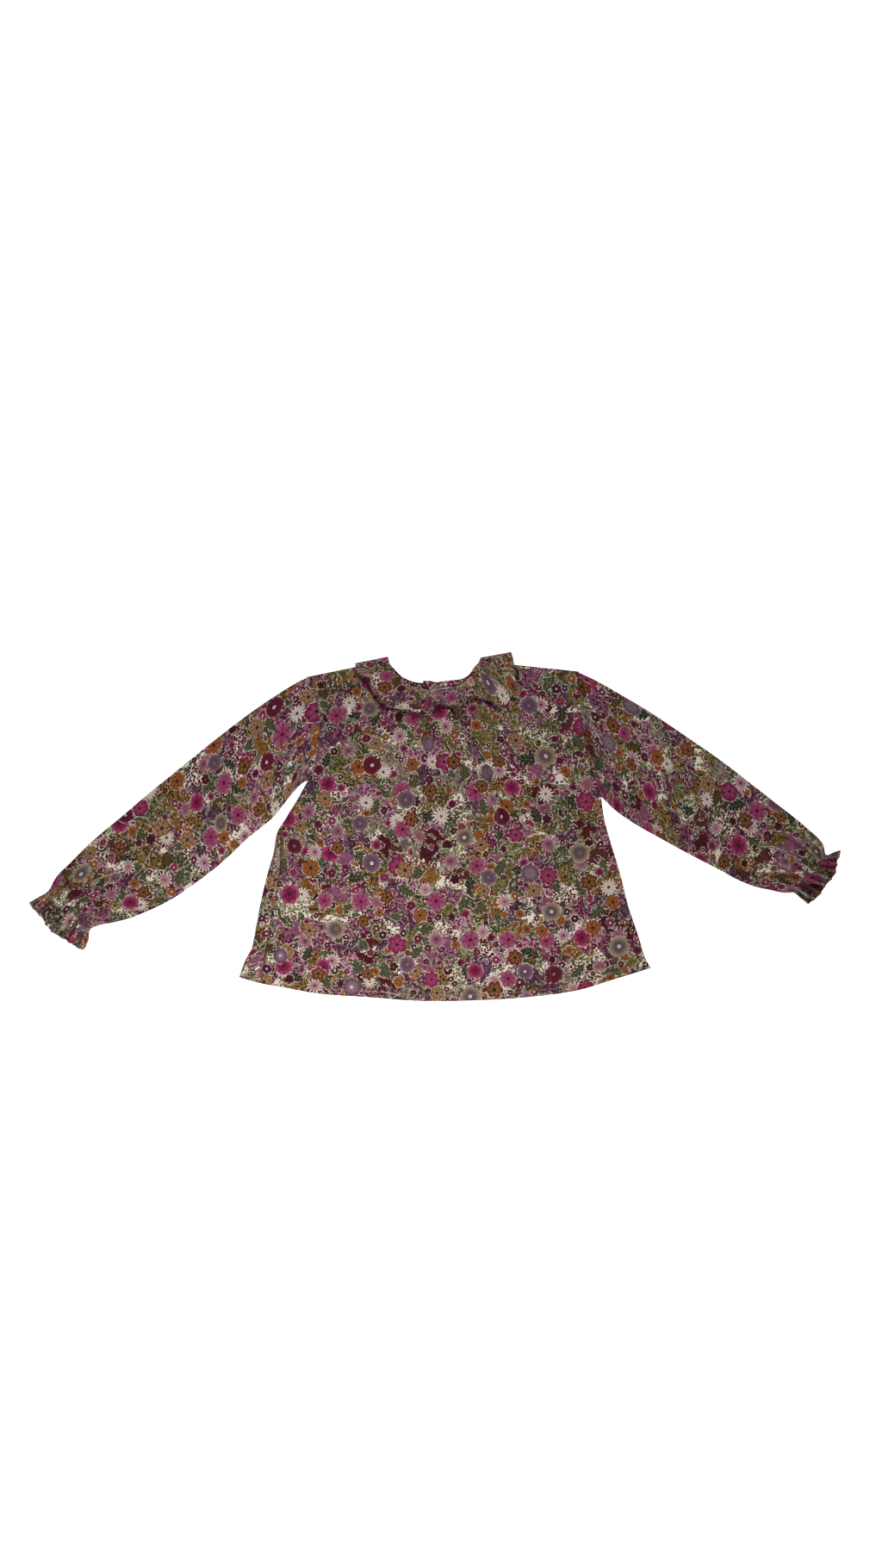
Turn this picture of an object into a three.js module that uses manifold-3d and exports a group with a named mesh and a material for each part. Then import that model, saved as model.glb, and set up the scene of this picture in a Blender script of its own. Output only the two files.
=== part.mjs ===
// A child's long-sleeved blouse with a ruffled collar, laid flat on its back with the front up.
// Units are millimetres. +X is the viewer's right, +Y runs from hem to neck, +Z is up.
// The origin is the middle of the blouse's footprint, on the surface that it lies on.
import * as THREE from 'three';
import Module from 'manifold-3d';
import { mergeVertices } from 'three/addons/utils/BufferGeometryUtils.js';

const wasm = await Module();
wasm.setup();

// Cloth and clearances
const WALL = 1.0;
const SEAM_GAP = 0.3;
const HEM_WIDTH = 8;
const HEM_EXTRA = 0.4;
const HEM_STEP = 1.5;

// Neck binding: its size, the space between its two layers at the shoulders, and how its end
// laps over its start at the centre back (a share of the back neck edge from the left)
const BINDING_WALL = 1.4;
const BINDING_WIDTH = 6.5;
const BINDING_TURN_GAP = 0.5;
const CENTRE_BACK = 0.46;
const LAP_LENGTH = 7;
const LAP_RISE = 10;
const LAP_SHIFT = 2.5;

// How the layers lie near the neck, where half of the collar is under the back
const COLLAR_UNDER_HEIGHT = 1.6;
const COLLAR_REACH = 43;
const COLLAR_EASE = 34;
const NECK_STACK = 0.6;
const COLLAR_CLEAR = 0.8;
const COLLAR_FLARE = 1.3;

// How far the front stands off the back away from its seams, and what is left of a fold there
const FRONT_FULLNESS = 2.0;
const FULLNESS_REACH = 45;
const FOLD_AT_SEAM = 0.35;

// The back's left edge, rolled up and over to the seam with the front: the outline point where the
// roll starts, its wall, the leg inside the panel and the least length of its lip
const ROLL_FIRST = 4;
const ROLL_WALL = 0.9;
const ROLL_LEG = 9;
const ROLL_REACH = 12;
const ROLL_LEAST = 2.5;

// Centre-back slit and its button
const SLIT_X = -5.5;
const SLIT_WIDTH = 0.6;
const SLIT_LENGTH = 95;
const BUTTON_RADIUS = 4.5;
const BUTTON_THICKNESS = 1.5;
const BUTTON_Y = 161;
const BUTTON_SIDES = 24;

// Outline of the body, each run from the viewer's left to right or from shoulder to hem
const ARMHOLE_LEFT = [
  { x: -145.5, y: 174.5 },
  { x: -137.5, y: 144.5 },
  { x: -133.5, y: 114.5 },
  { x: -137.5, y: 84.5 },
  { x: -147.5, y: 54.5 },
];
const SIDE_LEFT_FRONT = [
  { x: -147.5, y: 54.5 },
  { x: -161.5, y: 29.5 },
  { x: -174.5, y: 7.5 },
  { x: -179.5, y: -12 },
  { x: -180.5, y: -45.5 },
  { x: -188.5, y: -93.5 },
  { x: -194.5, y: -123.5 },
  { x: -198.5, y: -150 },
  { x: -203.5, y: -181.5 },
];
const SIDE_LEFT_BACK = [
  { x: -147.5, y: 54.5 },
  { x: -161.5, y: 29.5 },
  { x: -172.5, y: 11.5 },
  { x: -183.5, y: -6.5 },
  { x: -188.0, y: -30.5 },
  { x: -196.5, y: -60.5 },
  { x: -204.5, y: -96.5 },
  { x: -211.0, y: -131.5 },
  { x: -213.0, y: -140.5 },
  { x: -221.5, y: -156.5 },
  { x: -228.0, y: -175.0 },
];
const HEM_FRONT = [
  { x: -203.5, y: -181.5 },
  { x: -175.5, y: -186.5 },
  { x: -135.5, y: -193.5 },
  { x: -75.5, y: -197.5 },
  { x: -15.5, y: -201.7 },
  { x: 44.5, y: -201.0 },
  { x: 104.5, y: -197.5 },
  { x: 164.5, y: -189.5 },
  { x: 204.5, y: -177.5 },
  { x: 249.5, y: -164.0 },
];
const HEM_BACK = [
  { x: -228.0, y: -175.0 },
  { x: -203.5, y: -181.8 },
  { x: -175.5, y: -186.9 },
  { x: -135.5, y: -193.9 },
  { x: -75.5, y: -198.2 },
  { x: -15.5, y: -202.5 },
  { x: 44.5, y: -201.8 },
  { x: 104.5, y: -198.2 },
  { x: 164.5, y: -190.2 },
  { x: 204.5, y: -178.2 },
  { x: 250.5, y: -164.0 },
];
const SIDE_RIGHT = [
  { x: 250.5, y: -164.0 },
  { x: 244.5, y: -154.5 },
  { x: 235.5, y: -126.5 },
  { x: 223.5, y: -90.5 },
  { x: 214.5, y: -54.5 },
  { x: 203.5, y: -18.5 },
  { x: 195.5, y: 11.5 },
  { x: 192.5, y: 34.5 },
];
const ARMHOLE_RIGHT = [
  { x: 192.5, y: 34.5 },
  { x: 178.5, y: 74.5 },
  { x: 170.5, y: 114.5 },
  { x: 166.5, y: 149.5 },
  { x: 162.5, y: 180.5 },
];
const SHOULDER_LEFT = [
  { x: -56.5, y: 192.5 },
  { x: -93.5, y: 185.5 },
  { x: -129.5, y: 179.5 },
  { x: -145.5, y: 174.5 },
];
const SHOULDER_RIGHT = [
  { x: 52.5, y: 191.5 },
  { x: 104.5, y: 188.5 },
  { x: 139.5, y: 187.5 },
  { x: 162.5, y: 180.5 },
];

// Neck edges from the left shoulder to the right one
const NECK_FRONT = [
  { x: -56.5, y: 192.5 },
  { x: -48.5, y: 179.5 },
  { x: -35.5, y: 167.5 },
  { x: -18.5, y: 160.5 },
  { x: -0.5, y: 158.5 },
  { x: 16.5, y: 160.5 },
  { x: 32.5, y: 166.5 },
  { x: 43.5, y: 177.5 },
  { x: 52.5, y: 191.5 },
];
const NECK_BACK = [
  { x: -56.5, y: 192.5 },
  { x: -48.5, y: 183.5 },
  { x: -39.5, y: 174.5 },
  { x: -25.5, y: 168.0 },
  { x: -5.5, y: 166.5 },
  { x: 14.5, y: 169.5 },
  { x: 29.5, y: 171.0 },
  { x: 39.5, y: 176.5 },
  { x: 45.5, y: 185.5 },
  { x: 52.5, y: 191.5 },
];
const NECK_CENTRE = { x: -0.5, y: 179.5 };
const SHOULDER_BLEND = 0.16;

// Soft ridges (rise above 0) and troughs (below 0): from one end to the other,
// half width and rise at each end
const FRONT_FOLDS = [
  { name: 'centre pleat', x0: 7, y0: 140, x1: 42, y1: 0, wide0: 16, wide1: 40, rise0: 1.5, rise1: 0.2 },
  { name: 'pleat left', x0: -8, y0: 140, x1: -9, y1: 96, wide0: 7, wide1: 8, rise0: -0.8, rise1: 0 },
  { name: 'pleat right', x0: 24, y0: 140, x1: 86, y1: -3, wide0: 8, wide1: 14, rise0: -1, rise1: 0 },
  { name: 'gather 1', x0: -28, y0: 138, x1: -38, y1: 10, wide0: 11, wide1: 24, rise0: 0.9, rise1: 0 },
  { name: 'gather 2', x0: -56, y0: 142, x1: -88, y1: 40, wide0: 12, wide1: 24, rise0: 0.9, rise1: 0 },
  { name: 'gather 3', x0: -78, y0: 156, x1: -118, y1: 92, wide0: 11, wide1: 20, rise0: 0.8, rise1: 0 },
  { name: 'gather 4', x0: 58, y0: 138, x1: 118, y1: 22, wide0: 12, wide1: 24, rise0: 0.9, rise1: 0 },
  { name: 'gather 5', x0: 84, y0: 150, x1: 142, y1: 84, wide0: 11, wide1: 20, rise0: 0.8, rise1: 0 },
  { name: 'armhole left', x0: -141, y0: 58, x1: -172, y1: -38, wide0: 12, wide1: 18, rise0: -0.7, rise1: 0 },
  { name: 'armhole right', x0: 176, y0: 66, x1: 178, y1: -30, wide0: 12, wide1: 20, rise0: -0.7, rise1: 0 },
  { name: 'hem 1', x0: -150, y0: -185, x1: -140, y1: -60, wide0: 26, wide1: 18, rise0: 0.8, rise1: 0 },
  { name: 'hem 2', x0: -60, y0: -190, x1: -52, y1: -70, wide0: 24, wide1: 18, rise0: 0.7, rise1: 0 },
  { name: 'hem 3', x0: 60, y0: -190, x1: 48, y1: -60, wide0: 26, wide1: 18, rise0: 0.8, rise1: 0 },
  { name: 'hem 4', x0: 165, y0: -178, x1: 135, y1: -50, wide0: 24, wide1: 18, rise0: 0.7, rise1: 0 },
];
const SLEEVE_LEFT_FOLDS = [
  { name: 'armpit', x0: -147, y0: 98, x1: -172, y1: 50, wide0: 9, wide1: 12, rise0: -1.0, rise1: -0.6 },
  { name: 'roll', x0: -158, y0: 112, x1: -196, y1: 40, wide0: 14, wide1: 18, rise0: 0.9, rise1: 0.3 },
  { name: 'elbow', x0: -230, y0: 96, x1: -300, y1: -20, wide0: 20, wide1: 24, rise0: 0.7, rise1: 0.3 },
];
const SLEEVE_RIGHT_FOLDS = [
  { name: 'head', x0: 160, y0: 126, x1: 243, y1: 132, wide0: 9, wide1: 9, rise0: -0.9, rise1: -0.4 },
  { name: 'under head', x0: 176, y0: 112, x1: 246, y1: 108, wide0: 14, wide1: 16, rise0: 0.9, rise1: 0.3 },
  { name: 'armpit', x0: 184, y0: 96, x1: 196, y1: 44, wide0: 9, wide1: 10, rise0: -0.8, rise1: -0.5 },
  { name: 'elbow', x0: 300, y0: 86, x1: 330, y1: -20, wide0: 20, wide1: 24, rise0: 0.7, rise1: 0.3 },
];

// Sleeves: a row for each section across the tube, with its edge towards the shoulder (top),
// its edge towards the hem (bottom), and how far the upper layer stands off the lower one
const SLEEVE_LEFT_SECTIONS = [
  { topX: -160.5, topY: 167.5, bottomX: -156.5, bottomY: 48.5, puff: 1.0 },
  { topX: -189.5, topY: 149.5, bottomX: -168.5, bottomY: 35.5, puff: 1.6 },
  { topX: -222.5, topY: 126.5, bottomX: -187.5, bottomY: 11.5, puff: 1.9 },
  { topX: -262.5, topY: 95.5, bottomX: -216.5, bottomY: -12.5, puff: 1.8 },
  { topX: -299.5, topY: 65.5, bottomX: -248.5, bottomY: -42.5, puff: 1.7 },
  { topX: -336.5, topY: 35.5, bottomX: -279.5, bottomY: -66.5, puff: 1.8 },
  { topX: -364.5, topY: 11.5, bottomX: -306.5, bottomY: -84.5, puff: 1.8 },
  { topX: -386.5, topY: -6.5, bottomX: -330.5, bottomY: -96.5, puff: 1.7 },
  { topX: -406.5, topY: -24.5, bottomX: -355.5, bottomY: -106.5, puff: 1.5 },
  { topX: -424.5, topY: -42.5, bottomX: -375.5, bottomY: -111.5, puff: 1.2 },
  { topX: -439.5, topY: -57.5, bottomX: -390.5, bottomY: -114.5, puff: 0.8 },
  { topX: -449.5, topY: -74.5, bottomX: -400.5, bottomY: -119.5, puff: 0.2 },
  { topX: -460.0, topY: -81.0, bottomX: -402.5, bottomY: -131.5, puff: 0.8 },
  { topX: -470.5, topY: -87.0, bottomX: -407.0, bottomY: -143.0, puff: 1.3 },
];
const SLEEVE_RIGHT_SECTIONS = [
  { topX: 184.5, topY: 170.5, bottomX: 199.5, bottomY: 27.5, puff: 1.0 },
  { topX: 216.5, topY: 152.5, bottomX: 210.5, bottomY: 17.5, puff: 1.6 },
  { topX: 251.5, topY: 131.5, bottomX: 232.5, bottomY: 2.5, puff: 1.9 },
  { topX: 291.5, topY: 104.5, bottomX: 264.5, bottomY: -15.5, puff: 1.8 },
  { topX: 330.5, topY: 77.5, bottomX: 297.5, bottomY: -33.5, puff: 1.7 },
  { topX: 364.5, topY: 51.5, bottomX: 326.5, bottomY: -48.5, puff: 1.8 },
  { topX: 392.5, topY: 29.5, bottomX: 350.5, bottomY: -61.5, puff: 1.8 },
  { topX: 414.5, topY: 12.5, bottomX: 370.5, bottomY: -69.5, puff: 1.7 },
  { topX: 432.5, topY: -2.5, bottomX: 388.5, bottomY: -73.5, puff: 1.5 },
  { topX: 444.5, topY: -13.5, bottomX: 402.5, bottomY: -76.5, puff: 1.2 },
  { topX: 450.5, topY: -21.5, bottomX: 409.5, bottomY: -77.0, puff: 0.8 },
  { topX: 453.5, topY: -32.5, bottomX: 415.5, bottomY: -76.5, puff: 0.2 },
  { topX: 462.0, topY: -29.5, bottomX: 424.0, bottomY: -83.0, puff: 0.8 },
  { topX: 469.5, topY: -27.0, bottomX: 432.5, bottomY: -90.0, puff: 1.3 },
];
const ELASTIC_SECTION = 12;
const LAST_SECTION = 14;
const FRILL_BULGE = 7.5;
const ARMHOLE_FADE = 3;
const SLEEVE_CROWN = 0.22;
const SLEEVE_FOLD_EDGE = 0.1;
const SLEEVE_EDGE = 0.9;
const ARMHOLE_CLEAR = 0.48;

// Gathers at each wrist: place across the sleeve from 0 at its top edge to 1 at its bottom edge,
// half width as a share of it, rise, and how far they run up the sleeve
const WRIST_GATHERS = [
  { across: 0.10, wide: 0.08, rise: 1.1, reach: 46 },
  { across: 0.24, wide: 0.07, rise: 1.4, reach: 58 },
  { across: 0.38, wide: 0.07, rise: 1.2, reach: 40 },
  { across: 0.51, wide: 0.07, rise: 1.5, reach: 62 },
  { across: 0.65, wide: 0.07, rise: 1.2, reach: 44 },
  { across: 0.78, wide: 0.07, rise: 1.4, reach: 54 },
  { across: 0.91, wide: 0.07, rise: 1.0, reach: 36 },
];
const FRILL_WAVE_RISE = 1.6;
const FRILL_WAVE_REACH = 15;
const ELASTIC_PRESS = 0.5;

// Collar: a row for each section of the gathered strip, from the centre back under the viewer's
// left shoulder, over it, along the front, over the right shoulder and back to the centre back.
// inner is the seam edge, outer the free edge; over is 0 under the back, 1 on the front.
const COLLAR_SECTIONS = [
  { innerX: -12, innerY: 164.5, outerX: -14, outerY: 128.5, over: 0, rise: 0.0 },
  { innerX: -25.5, innerY: 166.0, outerX: -34, outerY: 130, over: 0, rise: 0.6 },
  { innerX: -38, innerY: 171.5, outerX: -58, outerY: 141, over: 0, rise: 0.0 },
  { innerX: -47, innerY: 180.0, outerX: -78, outerY: 158, over: 0, rise: 0.6 },
  { innerX: -54, innerY: 188.5, outerX: -90, outerY: 176, over: 0, rise: 0.0 },
  { innerX: -56.8, innerY: 195.4, outerX: -93.0, outerY: 187.8, over: 0.06, rise: 0.0 },
  { innerX: -55.5, innerY: 197.0, outerX: -93.5, outerY: 189.4, over: 0.5, rise: 0.5 },
  { innerX: -54.5, innerY: 195.4, outerX: -93.0, outerY: 187.8, over: 1.12, rise: 0.0 },
  { innerX: -53, innerY: 189.0, outerX: -90, outerY: 179, over: 1, rise: 2.5 },
  { innerX: -50.5, innerY: 185.0, outerX: -80.5, outerY: 172.5, over: 1, rise: 4.5 },
  { innerX: -46.5, innerY: 178.5, outerX: -72.5, outerY: 157.5, over: 1, rise: 1.0 },
  { innerX: -41, innerY: 172.5, outerX: -62.5, outerY: 144.5, over: 1, rise: 4.5 },
  { innerX: -34, innerY: 167.0, outerX: -51.5, outerY: 138.5, over: 1, rise: 1.5 },
  { innerX: -26.5, innerY: 163.0, outerX: -37, outerY: 135.5, over: 1, rise: 5.0 },
  { innerX: -19, innerY: 160.7, outerX: -24, outerY: 132.5, over: 1, rise: 1.5 },
  { innerX: -11, innerY: 159.0, outerX: -7.5, outerY: 129.5, over: 1, rise: 5.5 },
  { innerX: -5, innerY: 158.3, outerX: 2.0, outerY: 141.5, over: 1, rise: 7.5 },
  { innerX: 3, innerY: 158.2, outerX: 15.5, outerY: 139.5, over: 1, rise: 2.5 },
  { innerX: 10, innerY: 158.7, outerX: 21.5, outerY: 136.0, over: 1, rise: 1.5 },
  { innerX: 17, innerY: 160.0, outerX: 31.5, outerY: 137.5, over: 1, rise: 3.5 },
  { innerX: 23.5, innerY: 162.3, outerX: 38, outerY: 145.0, over: 1, rise: 7.0 },
  { innerX: 29, innerY: 164.8, outerX: 45.5, outerY: 149.5, over: 1, rise: 5.0 },
  { innerX: 34, innerY: 168.2, outerX: 53, outerY: 148.5, over: 1, rise: 2.0 },
  { innerX: 38.2, innerY: 172.2, outerX: 62, outerY: 145.5, over: 1, rise: 1.5 },
  { innerX: 42, innerY: 176.8, outerX: 77.5, outerY: 138.5, over: 1, rise: 5.0 },
  { innerX: 45, innerY: 181.0, outerX: 87, outerY: 149.5, over: 1, rise: 2.0 },
  { innerX: 47.5, innerY: 185.0, outerX: 92.5, outerY: 164.5, over: 1, rise: 4.5 },
  { innerX: 49.5, innerY: 188.5, outerX: 92.5, outerY: 180, over: 1, rise: 3.0 },
  { innerX: 51.5, innerY: 194.2, outerX: 89.5, outerY: 197, over: 1.1, rise: 1.0 },
  { innerX: 52.5, innerY: 196.0, outerX: 87.5, outerY: 202.5, over: 0.5, rise: 0.5 },
  { innerX: 53.5, innerY: 194.2, outerX: 88.0, outerY: 199, over: 0.06, rise: 0.0 },
  { innerX: 50, innerY: 187.0, outerX: 85, outerY: 177, over: 0, rise: 0.6 },
  { innerX: 44, innerY: 180.0, outerX: 75, outerY: 158, over: 0, rise: 0.0 },
  { innerX: 37, innerY: 172.5, outerX: 56, outerY: 140, over: 0, rise: 0.6 },
  { innerX: 22, innerY: 167.5, outerX: 31, outerY: 130, over: 0, rise: 0.0 },
  { innerX: 1, innerY: 165.0, outerX: 3, outerY: 128.5, over: 0, rise: 0.6 },
];

// How fine the solids are
const CURVE_SAMPLES = 24;
const OUTLINE_COLUMNS = { armhole: 6, side: 7, hem: 18 };
const FRONT_ROWS = [
  0, 0.03, 0.07, 0.12, 0.17, 0.22, 0.28, 0.34, 0.41, 0.48,
  0.55, 0.62, 0.69, 0.76, 0.83, 0.89, 0.935, 0.975, 1,
];
const BACK_ROWS = [0, 0.06, 0.12, 0.18, 0.25, 0.35, 0.5, 0.7, 0.88, 1];
const ROLL_STEPS = 18;
const ROLL_TURN_STEPS = 4;
const SLEEVE_UPPER_STEPS = 26;
const SLEEVE_LOWER_STEPS = 7;
const COLLAR_STEPS = 4;
const COLLAR_ACROSS = 5;
const BINDING_STEPS = 24;
const TURN_STEPS = 4;

function lerp(a, b, t) {
  return a + (b - a) * t;
}

function smooth(t) {
  const c = Math.min(1, Math.max(0, t));
  return c * c * (3 - 2 * c);
}

function curveOf(rows) {
  const points = rows.map((row) => new THREE.Vector3(row.x, row.y, row.z ?? 0));
  return new THREE.CatmullRomCurve3(points, false, 'centripetal');
}

function sampled(rows) {
  return curveOf(rows).getSpacedPoints(CURVE_SAMPLES);
}

function distanceToLine(x, y, points) {
  let best = Infinity;
  for (let i = 1; i < points.length; i += 1) {
    const from = points[i - 1];
    const to = points[i];
    const dx = to.x - from.x;
    const dy = to.y - from.y;
    const squared = dx * dx + dy * dy;
    if (squared === 0) continue;
    const t = Math.min(1, Math.max(0, ((x - from.x) * dx + (y - from.y) * dy) / squared));
    best = Math.min(best, Math.hypot(x - from.x - dx * t, y - from.y - dy * t));
  }
  return best;
}

function foldHeight(folds, x, y) {
  let sum = 0;
  for (const fold of folds) {
    const dx = fold.x1 - fold.x0;
    const dy = fold.y1 - fold.y0;
    const length = Math.hypot(dx, dy);
    const along = ((x - fold.x0) * dx + (y - fold.y0) * dy) / (length * length);
    const aside = Math.abs((x - fold.x0) * dy - (y - fold.y0) * dx) / length;
    const t = Math.min(1, Math.max(0, along));
    const beyond = Math.abs(along - t) * length;
    const wide = lerp(fold.wide0, fold.wide1, t);
    const reach = Math.hypot(aside, beyond) / wide;
    sum += lerp(fold.rise0, fold.rise1, t) * smooth(1 - reach);
  }
  return sum;
}

// Heights of the body's layers at a place in plan
const neckBackLine = sampled(NECK_BACK);
const frontEdgeLine = [
  ...sampled(SHOULDER_LEFT),
  ...sampled(ARMHOLE_LEFT),
  ...sampled(SIDE_LEFT_FRONT),
  ...sampled(HEM_FRONT),
  ...sampled(SIDE_RIGHT),
  ...sampled(ARMHOLE_RIGHT),
  ...sampled([...SHOULDER_RIGHT].reverse()),
];
const hemLine = sampled(HEM_FRONT);

function backBottom(x, y) {
  const fromNeck = distanceToLine(x, y, neckBackLine);
  return (COLLAR_UNDER_HEIGHT + SEAM_GAP) * smooth(1 - (fromNeck - COLLAR_REACH) / COLLAR_EASE);
}

function backTop(x, y) {
  return backBottom(x, y) + WALL;
}

function frontBottom(x, y) {
  const fromEdge = distanceToLine(x, y, frontEdgeLine);
  const fromNeck = distanceToLine(x, y, neckBackLine);
  const inside = smooth(fromEdge / FULLNESS_REACH);
  const atNeck = NECK_STACK * smooth(1 - fromNeck / COLLAR_REACH);
  const folds = foldHeight(FRONT_FOLDS, x, y) * smooth(fromEdge / HEM_WIDTH);
  const full = Math.max(0, FRONT_FULLNESS * inside + folds * lerp(FOLD_AT_SEAM, 1, inside));
  return backTop(x, y) + SEAM_GAP + Math.max(atNeck, full);
}

function frontTop(x, y) {
  const inHem = smooth((HEM_WIDTH - distanceToLine(x, y, hemLine)) / HEM_STEP);
  return frontBottom(x, y) + WALL + HEM_EXTRA * inHem;
}

// Direction across the neck edge, away from the opening: square to the edge, but along the
// shoulder seam at both ends
function awayFromNeck(curve, share) {
  const tangent = curve.getTangentAt(share);
  const square = new THREE.Vector3(tangent.y, -tangent.x, 0).normalize();
  const seam = share < 0.5 ? SHOULDER_LEFT : SHOULDER_RIGHT;
  const along = new THREE.Vector3(seam[1].x - seam[0].x, seam[1].y - seam[0].y, 0).normalize();
  const fromEnd = Math.min(share, 1 - share);
  return along.lerp(square, smooth(fromEnd / SHOULDER_BLEND)).normalize();
}

// Plan of a panel: columns that fan out from the neck to the outer edge, rows between
function panelColumns(sections, neck) {
  const outer = [];
  for (const { rows, columns } of sections) {
    const points = curveOf(rows).getSpacedPoints(columns);
    if (outer.length > 0) points.shift();
    outer.push(...points);
  }
  const angles = outer.map((p) => Math.atan2(p.y - NECK_CENTRE.y, p.x - NECK_CENTRE.x));
  const turned = angles.map((a) => (a > Math.PI / 2 ? a - 2 * Math.PI : a));
  const first = turned[0];
  const last = turned[turned.length - 1];
  const curve = curveOf(neck);
  return outer.map((point, index) => {
    const share = Math.min(1, Math.max(0, (turned[index] - first) / (last - first)));
    const away = awayFromNeck(curve, share);
    const inner = curve.getPointAt(share).addScaledVector(away, BINDING_WIDTH + SEAM_GAP);
    return { inner, outer: point };
  });
}

function solidFromGrids(topGrid, bottomGrid) {
  const rows = topGrid.length;
  const columns = topGrid[0].length;
  const positions = [...topGrid.flat(), ...bottomGrid.flat()].flatMap((p) => [p.x, p.y, p.z]);
  const top = (i, j) => i * columns + j;
  const bottom = (i, j) => rows * columns + i * columns + j;
  const faces = [];
  const quad = (a, b, c, d) => faces.push(a, b, c, a, c, d);
  for (let i = 0; i < rows - 1; i += 1) {
    for (let j = 0; j < columns - 1; j += 1) {
      quad(top(i, j), top(i + 1, j), top(i + 1, j + 1), top(i, j + 1));
      quad(bottom(i, j), bottom(i, j + 1), bottom(i + 1, j + 1), bottom(i + 1, j));
    }
  }
  for (let j = 0; j < columns - 1; j += 1) {
    quad(top(0, j), top(0, j + 1), bottom(0, j + 1), bottom(0, j));
    quad(top(rows - 1, j + 1), top(rows - 1, j), bottom(rows - 1, j), bottom(rows - 1, j + 1));
  }
  for (let i = 0; i < rows - 1; i += 1) {
    quad(top(i + 1, 0), top(i, 0), bottom(i, 0), bottom(i + 1, 0));
    quad(top(i, columns - 1), top(i + 1, columns - 1), bottom(i + 1, columns - 1), bottom(i, columns - 1));
  }
  return outwardGeometry(positions, faces);
}

function signedVolume(positions, faces) {
  const corner = (index) => new THREE.Vector3().fromArray(positions, index * 3);
  let sum = 0;
  for (let i = 0; i < faces.length; i += 3) {
    sum += corner(faces[i]).dot(corner(faces[i + 1]).cross(corner(faces[i + 2])));
  }
  return sum;
}

function outwardGeometry(positions, faces) {
  const geometry = new THREE.BufferGeometry();
  const turned = signedVolume(positions, faces) < 0 ? [...faces].reverse() : faces;
  geometry.setAttribute('position', new THREE.Float32BufferAttribute(positions, 3));
  geometry.setIndex(turned);
  geometry.computeVertexNormals();
  return geometry;
}

function panelGeometry(columns, rows, topHeight, bottomHeight) {
  const place = (row, height) => columns.map(({ inner, outer }) => {
    const x = lerp(inner.x, outer.x, row);
    const y = lerp(inner.y, outer.y, row);
    return new THREE.Vector3(x, y, height(x, y));
  });
  const topGrid = rows.map((row) => place(row, topHeight));
  const bottomGrid = rows.map((row) => place(row, bottomHeight));
  return solidFromGrids(topGrid, bottomGrid);
}

function frontGeometry() {
  const sections = [
    { rows: ARMHOLE_LEFT, columns: OUTLINE_COLUMNS.armhole },
    { rows: SIDE_LEFT_FRONT, columns: OUTLINE_COLUMNS.side },
    { rows: HEM_FRONT, columns: OUTLINE_COLUMNS.hem },
    { rows: SIDE_RIGHT, columns: OUTLINE_COLUMNS.side },
    { rows: ARMHOLE_RIGHT, columns: OUTLINE_COLUMNS.armhole },
  ];
  return panelGeometry(panelColumns(sections, NECK_FRONT), FRONT_ROWS, frontTop, frontBottom);
}

// Booleans
function toManifold(geometry) {
  const bare = geometry.clone();
  bare.deleteAttribute('normal');
  bare.deleteAttribute('uv');
  const merged = mergeVertices(bare, 1e-4);
  return new wasm.Manifold(new wasm.Mesh({
    numProp: 3,
    vertProperties: new Float32Array(merged.attributes.position.array),
    triVerts: new Uint32Array(merged.index.array),
  }));
}

function fromManifold(solid) {
  const mesh = solid.getMesh();
  const geometry = new THREE.BufferGeometry();
  geometry.setAttribute('position', new THREE.BufferAttribute(new Float32Array(mesh.vertProperties), 3));
  geometry.setIndex(new THREE.BufferAttribute(new Uint32Array(mesh.triVerts), 1));
  geometry.computeVertexNormals();
  return geometry;
}

// The back's left edge rolls up and over, as far as the seam with the front
function rollGeometry() {
  const fold = curveOf(SIDE_LEFT_BACK.slice(ROLL_FIRST));
  const seam = sampled(SIDE_LEFT_FRONT);
  const lower = WALL / 2;
  const upper = lower + WALL + SEAM_GAP;
  const radius = (upper - lower) / 2;
  const centre = ROLL_WALL / 2 + radius;
  const middle = [];
  for (let i = 0; i <= ROLL_STEPS; i += 1) {
    const edge = fold.getPointAt(i / ROLL_STEPS);
    const near = seam.filter((point) => Math.abs(point.y - edge.y) < ROLL_REACH);
    const toSeam = Math.min(...near.map((point) => point.x - edge.x));
    const lip = Math.max(ROLL_LEAST, toSeam - SEAM_GAP - WALL);
    const line = [new THREE.Vector3(edge.x + ROLL_LEG, edge.y, lower)];
    for (let step = 0; step <= ROLL_TURN_STEPS; step += 1) {
      const angle = Math.PI * step / ROLL_TURN_STEPS;
      line.push(new THREE.Vector3(
        edge.x + centre - radius * Math.sin(angle),
        edge.y,
        lower + radius * (1 - Math.cos(angle)),
      ));
    }
    line.push(new THREE.Vector3(edge.x + lip, edge.y, upper));
    middle.push(line);
  }
  return stripGeometry(middle, ROLL_WALL);
}

function backGeometry() {
  const sections = [
    { rows: ARMHOLE_LEFT, columns: OUTLINE_COLUMNS.armhole },
    { rows: SIDE_LEFT_BACK, columns: OUTLINE_COLUMNS.side + 2 },
    { rows: HEM_BACK, columns: OUTLINE_COLUMNS.hem },
    { rows: SIDE_RIGHT, columns: OUTLINE_COLUMNS.side },
    { rows: ARMHOLE_RIGHT, columns: OUTLINE_COLUMNS.armhole },
  ];
  const panel = toManifold(panelGeometry(panelColumns(sections, NECK_BACK), BACK_ROWS, backTop, backBottom));
  const rolled = panel.add(toManifold(rollGeometry()));
  const cutter = new THREE.BoxGeometry(SLIT_WIDTH, SLIT_LENGTH, 20);
  cutter.translate(SLIT_X, NECK_BACK[4].y - SLIT_LENGTH / 2, 0);
  return fromManifold(rolled.subtract(toManifold(cutter)));
}

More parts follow.
